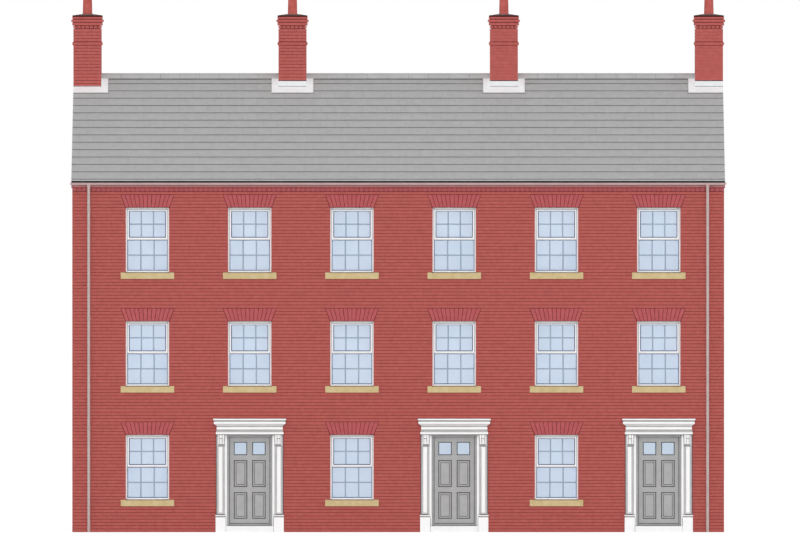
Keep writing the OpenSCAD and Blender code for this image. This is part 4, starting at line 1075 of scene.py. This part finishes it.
pilasters, plinths, consoles, entablatures, steps, linings, strips = (
    Solid() for _ in range(7))
for u in DOORS:
    here = moved(front, u)
    for side in (-1, 1):
        at = moved(front, u, side=side)
        # The backing and the beads are grey, painted shade of the recess beside the pilaster
        pilasters.post(PILASTER_BACK, PLINTH_H, DOOR_H, at, GREY_SHADE)
        for x in PILASTER_BEADS:
            pilasters.post([(x + d, w) for d, w in BEAD], PLINTH_H, CONSOLE_LOW, at, GREY_SHADE)
        # Dark joint down the pilaster's outer edge, in mastic: a painted shadow line
        pilasters.post(PILASTER_JOINT_SHADOW, PLINTH_H, DOOR_H, at, JOINT_SHADOW)
        pilasters.post(INNER_MOULDING, PLINTH_H, DOOR_H, at)
        pilasters.post(RAISED_STRIP, PLINTH_H + 0.04, CONSOLE_LOW - 0.03, at)
        for *box, mark in PILASTER_BLOCKS:
            pilasters.block(*box, at, mark)
        for v0, v1 in STRIP_ENDS:
            levels = [(v0, 0.049, 0.06), (v0 + 0.012, 0.049, 0.06), (v0 + 0.018, 0.046, 0.057),
                      (v1 - 0.006, 0.046, 0.057), (v1, 0.049, 0.059)]
            pilasters.tiers([(v, STRIP_MIDDLE - half, STRIP_MIDDLE + half, 0.02, w)
                             for v, half, w in levels], at)
        for mark, levels in PLINTH_TIERS:
            plinths.tiers([(v, PLINTH_IN, PLINTH_OUT + w, 0, w) for v, w in levels], at, mark)
        plinths.tiers([(0.397, 0.552, PLINTH_OUT + 0.078, 0, 0.078),
                       (PLINTH_H, 0.555, PLINTH_OUT + 0.074, 0, 0.074)], at, DARK_RIM)
        # Dark strips at the plinths' inner edges: painted shadow lines
        plinths.block(0.5475, 0.5525, 0, 0.336, 0.079, 0.0806, at, SHADOW_LINE)
        plinths.block(0.54, 0.5475, FLOOR_Z, 0.336, 0.041, 0.0426, at, SHADOW_LINE)
        consoles.rail(CORE, 0.5735, 0.725, at, [WHITE] + [SHADOW_LINE] * (len(CORE) - 1))
        # Grey band at the console's foot: painted shade
        consoles.block(0.573, 0.7265, CONSOLE_LOW + 0.0105, 2.024, 0.024, 0.07, at, GREY_SHADE)
        for x0, x1, outline, foot_v, back in (
                (0.584, 0.629, SCROLL, SCROLL_LOW, 0.025), (0.706, 0.726, SCROLL, SCROLL_LOW, 0.025),
                (0.637, 0.698, NOSE, SCROLL_LOW, 0.025), (0.637, 0.698, CROWN, 2.167, 0.03)):
            consoles.rail([(foot_v, back)] + outline + [(outline[-1][0], back)], x0, x1, at)
        linings.block(0.521, DOORWAY, FLOOR_Z, DOOR_H, -0.0605, 0.001, at)
        # Dark strips round the leaf and along the threshold: painted shadow lines in the gaps
        strips.block(0.457, 0.4635, 0.1945, 2.2005, -0.1055, -0.098, at)
        strips.block(0.4645, 0.471, FLOOR_Z, 2.2, -0.0602, -0.0588, at)
    linings.block(-DOORWAY, DOORWAY, DOOR_H - 0.004, DOOR_H + 0.001, -0.0605, 0.001, here)
    strips.block(-0.4635, 0.4635, 2.196, 2.2005, -0.1055, -0.098, here)
    strips.block(-0.4635, 0.4635, 0.1945, 0.209, -0.1055, -0.098, here)
    strips.block(-0.521, 0.521, FLOOR_Z, 0.166, -0.0602, -0.056, here)
    for mark, levels in ENTABLATURE:
        entablatures.tiers([(v, -0.765 - out, 0.765 + out, 0, 0.125 + out)
                            for v, out in levels], here, mark)
    # Dark strip over the crown, in mastic: a painted shadow line
    entablatures.block(-0.836, 0.836, 2.6315, 2.6345, 0, 0.0085, here, JOINT_SHADOW)
    for mark, levels in STEP:
        steps.tiers([(v, d - STEP_HALF, STEP_HALF - d, 0, STEP_W - d) for v, d in levels],
                    here, mark)
    steps.block(-0.525, 0.525, 0, FLOOR_Z, -0.3, 0.001, here)
SURROUND = "surround_paint surround_grey surround_shade surround_line mastic surround_pale"
pilasters.build("surround_pilasters", SURROUND, "door_white", ["door_pilasters"])
plinths.build("surround_plinths", SURROUND, "door_white", ["door_plinths"])
consoles.build("surround_consoles", SURROUND, "door_white", ["door_consoles"], smooth=30)
entablatures.build("surround_cornices", SURROUND, "door_white", ["door_entablatures"], smooth=30)
linings.build("reveal_linings", "surround_paint", "door_white")
strips.build("weather_strip_shadows", "door_painted_shade", "door_grey")
steps.build("stone_steps", "step_stone step_edge", "step_stone", ["door_steps"])

# Door leaves: mouldings, bevels and quirks coloured near-black as painted shadow lines, each (inset,
# out of the leaf's face)
LEAF_FACE = -0.108
LEAF_BACK = -0.152
PANEL_X = 0.2125
PANEL_HALF = 0.15
PANELS = [(1.051, 1.653), (0.316, 0.913)]
PANES = (1.786, 2.076)
PANEL_MOULDING = [(-0.015, -0.001), (-0.015, 0.002), (-0.012, 0.005), (-0.007, 0.003),
                  (-0.0055, 0.0005), (-0.0055, -0.001)]
PANEL_BEVEL = [(0.028, -0.0125), (0.028, -0.011), (0.0465, -0.0045), (0.0465, -0.0125)]
PANEL_QUIRK = [(-0.006, -0.001), (-0.006, 0.0008), (0.001, 0.0008), (0.0105, -0.0085),
               (0.0105, -0.0125), (0.001, -0.0125)]
FIELD_QUIRK = [(0.0455, -0.005), (0.0455, -0.0034), (0.0555, -0.0034), (0.0555, -0.005)]
PANE_MOULDING = [(-0.014, -0.001), (-0.014, 0.003), (-0.01, 0.006), (-0.006, 0.003),
                 (-0.005, 0.0005), (-0.005, -0.001)]
PANE_QUIRK = [(-0.0055, -0.001), (-0.0055, 0.0008), (0.0005, 0.0008), (0.0095, -0.014),
              (0.0095, -0.0195), (0.0005, -0.0195)]
for body, u in zip(("left_door", "middle_door", "right_door"), DOORS):
    trim, quirk_shades = Solid(), Solid()
    for at in (lambda a, b, w: front(a + u, b, LEAF_FACE + w),
               lambda a, b, w: front(a + u, b, LEAF_BACK - w)):
        for x in (-PANEL_X, PANEL_X):
            x0, x1 = x - PANEL_HALF, x + PANEL_HALF
            for v0, v1 in PANELS:
                trim.border(x0 + 0.003, x1 - 0.003, v0, v1, PANEL_MOULDING, at)
                trim.border(x0, x1, v0, v1, PANEL_BEVEL, at)
                quirk_shades.border(x0 + 0.003, x1 - 0.003, v0, v1, PANEL_QUIRK, at)
                quirk_shades.border(x0, x1, v0, v1, FIELD_QUIRK, at)
            trim.border(x0 + 0.004, x1 - 0.004, *PANES, PANE_MOULDING, at)
            quirk_shades.border(x0 + 0.004, x1 - 0.004, *PANES, PANE_QUIRK, at)
    trim.build(body + "_mouldings", "leaf_paint", "door_grey", body=body)
    quirk_shades.build(body + "_quirk_shades", "door_painted_shade", "door_grey", body=body)

# Floor and world, white to the camera, and softer on the row
STAGE = 60
stage_mesh = bpy.data.meshes.new("ground")
stage_mesh.from_pydata([(-STAGE, -STAGE, 0), (STAGE, -STAGE, 0), (STAGE, STAGE, 0),
                        (-STAGE, STAGE, 0)], [], [(0, 1, 2, 3)])
ground = put("ground", stage_mesh)
ground_look = bpy.data.materials.new("ground")
stage_mesh.materials.append(ground_look)
floor = Tree(ground_look, empty=True)
seen = floor.node("LightPath", {}, "Is Camera Ray")
floor.node("OutputMaterial", {"Surface": floor.node("MixShader", {
    0: floor.math("MULTIPLY", seen, 0.6),
    1: floor.node("BsdfDiffuse", {"Color": (0.8, 0.8, 0.8, 1)}, "BSDF"),
    2: floor.node("Emission", {"Strength": 1.4}, "Emission")}, "Shader")})

world = bpy.data.worlds.new("sky")
bpy.context.scene.world = world
sky = Tree(world, empty=True)
path = sky.node("LightPath", {}).outputs
seen = sky.math("MAXIMUM", path["Is Camera Ray"], path["Is Glossy Ray"])
sky.node("OutputWorld", {"Surface": sky.node("MixShader", {
    0: sky.math("MAXIMUM", seen, path["Is Transmission Ray"]),
    1: sky.node("Background", {"Color": "#ffffff", "Strength": 0.53}, "Background"),
    2: sky.node("Background", {"Color": "#ffffff", "Strength": 1.0}, "Background")}, "Shader")})


def sun(name, strength, azimuth, elevation, spread):
    """Lamp far away: azimuth from the street side towards +X, both angles in degrees."""
    data = bpy.data.lights.new(name, "SUN")
    data.energy = strength
    data.angle = math.radians(spread)
    put(name, data).rotation_euler = (math.radians(90 - elevation), 0, math.radians(azimuth))


sun("key", 1.26, 0, 15, 30)
sun("back", 0.75, 180, 25, 45)
sun("left", 0.4, -90, 20, 45)
sun("right", 0.4, 90, 20, 45)

# Camera with a long lens, as near to a flat elevation as the other views allow
LENS = 1150
SENSOR = 36
FRAME_W = 18.49
AIM = (0.042, -3.75, 6.0535)
# Looks down a little, so that the ridge and stacks stand as high as in the drawing
EYE_Z = 12.2
eye_distance = FRAME_W * LENS / SENSOR
camera_data = bpy.data.cameras.new("camera")
camera_data.lens = LENS
camera_data.sensor_width = SENSOR
camera_data.clip_end = 1000
camera = put("camera", camera_data)
camera.location = (AIM[0], AIM[1] - eye_distance, EYE_Z)
camera.rotation_euler = (math.atan2(eye_distance, EYE_Z - AIM[2]), 0, 0)
bpy.context.scene.camera = camera
bpy.context.scene.view_settings.view_transform = "Standard"
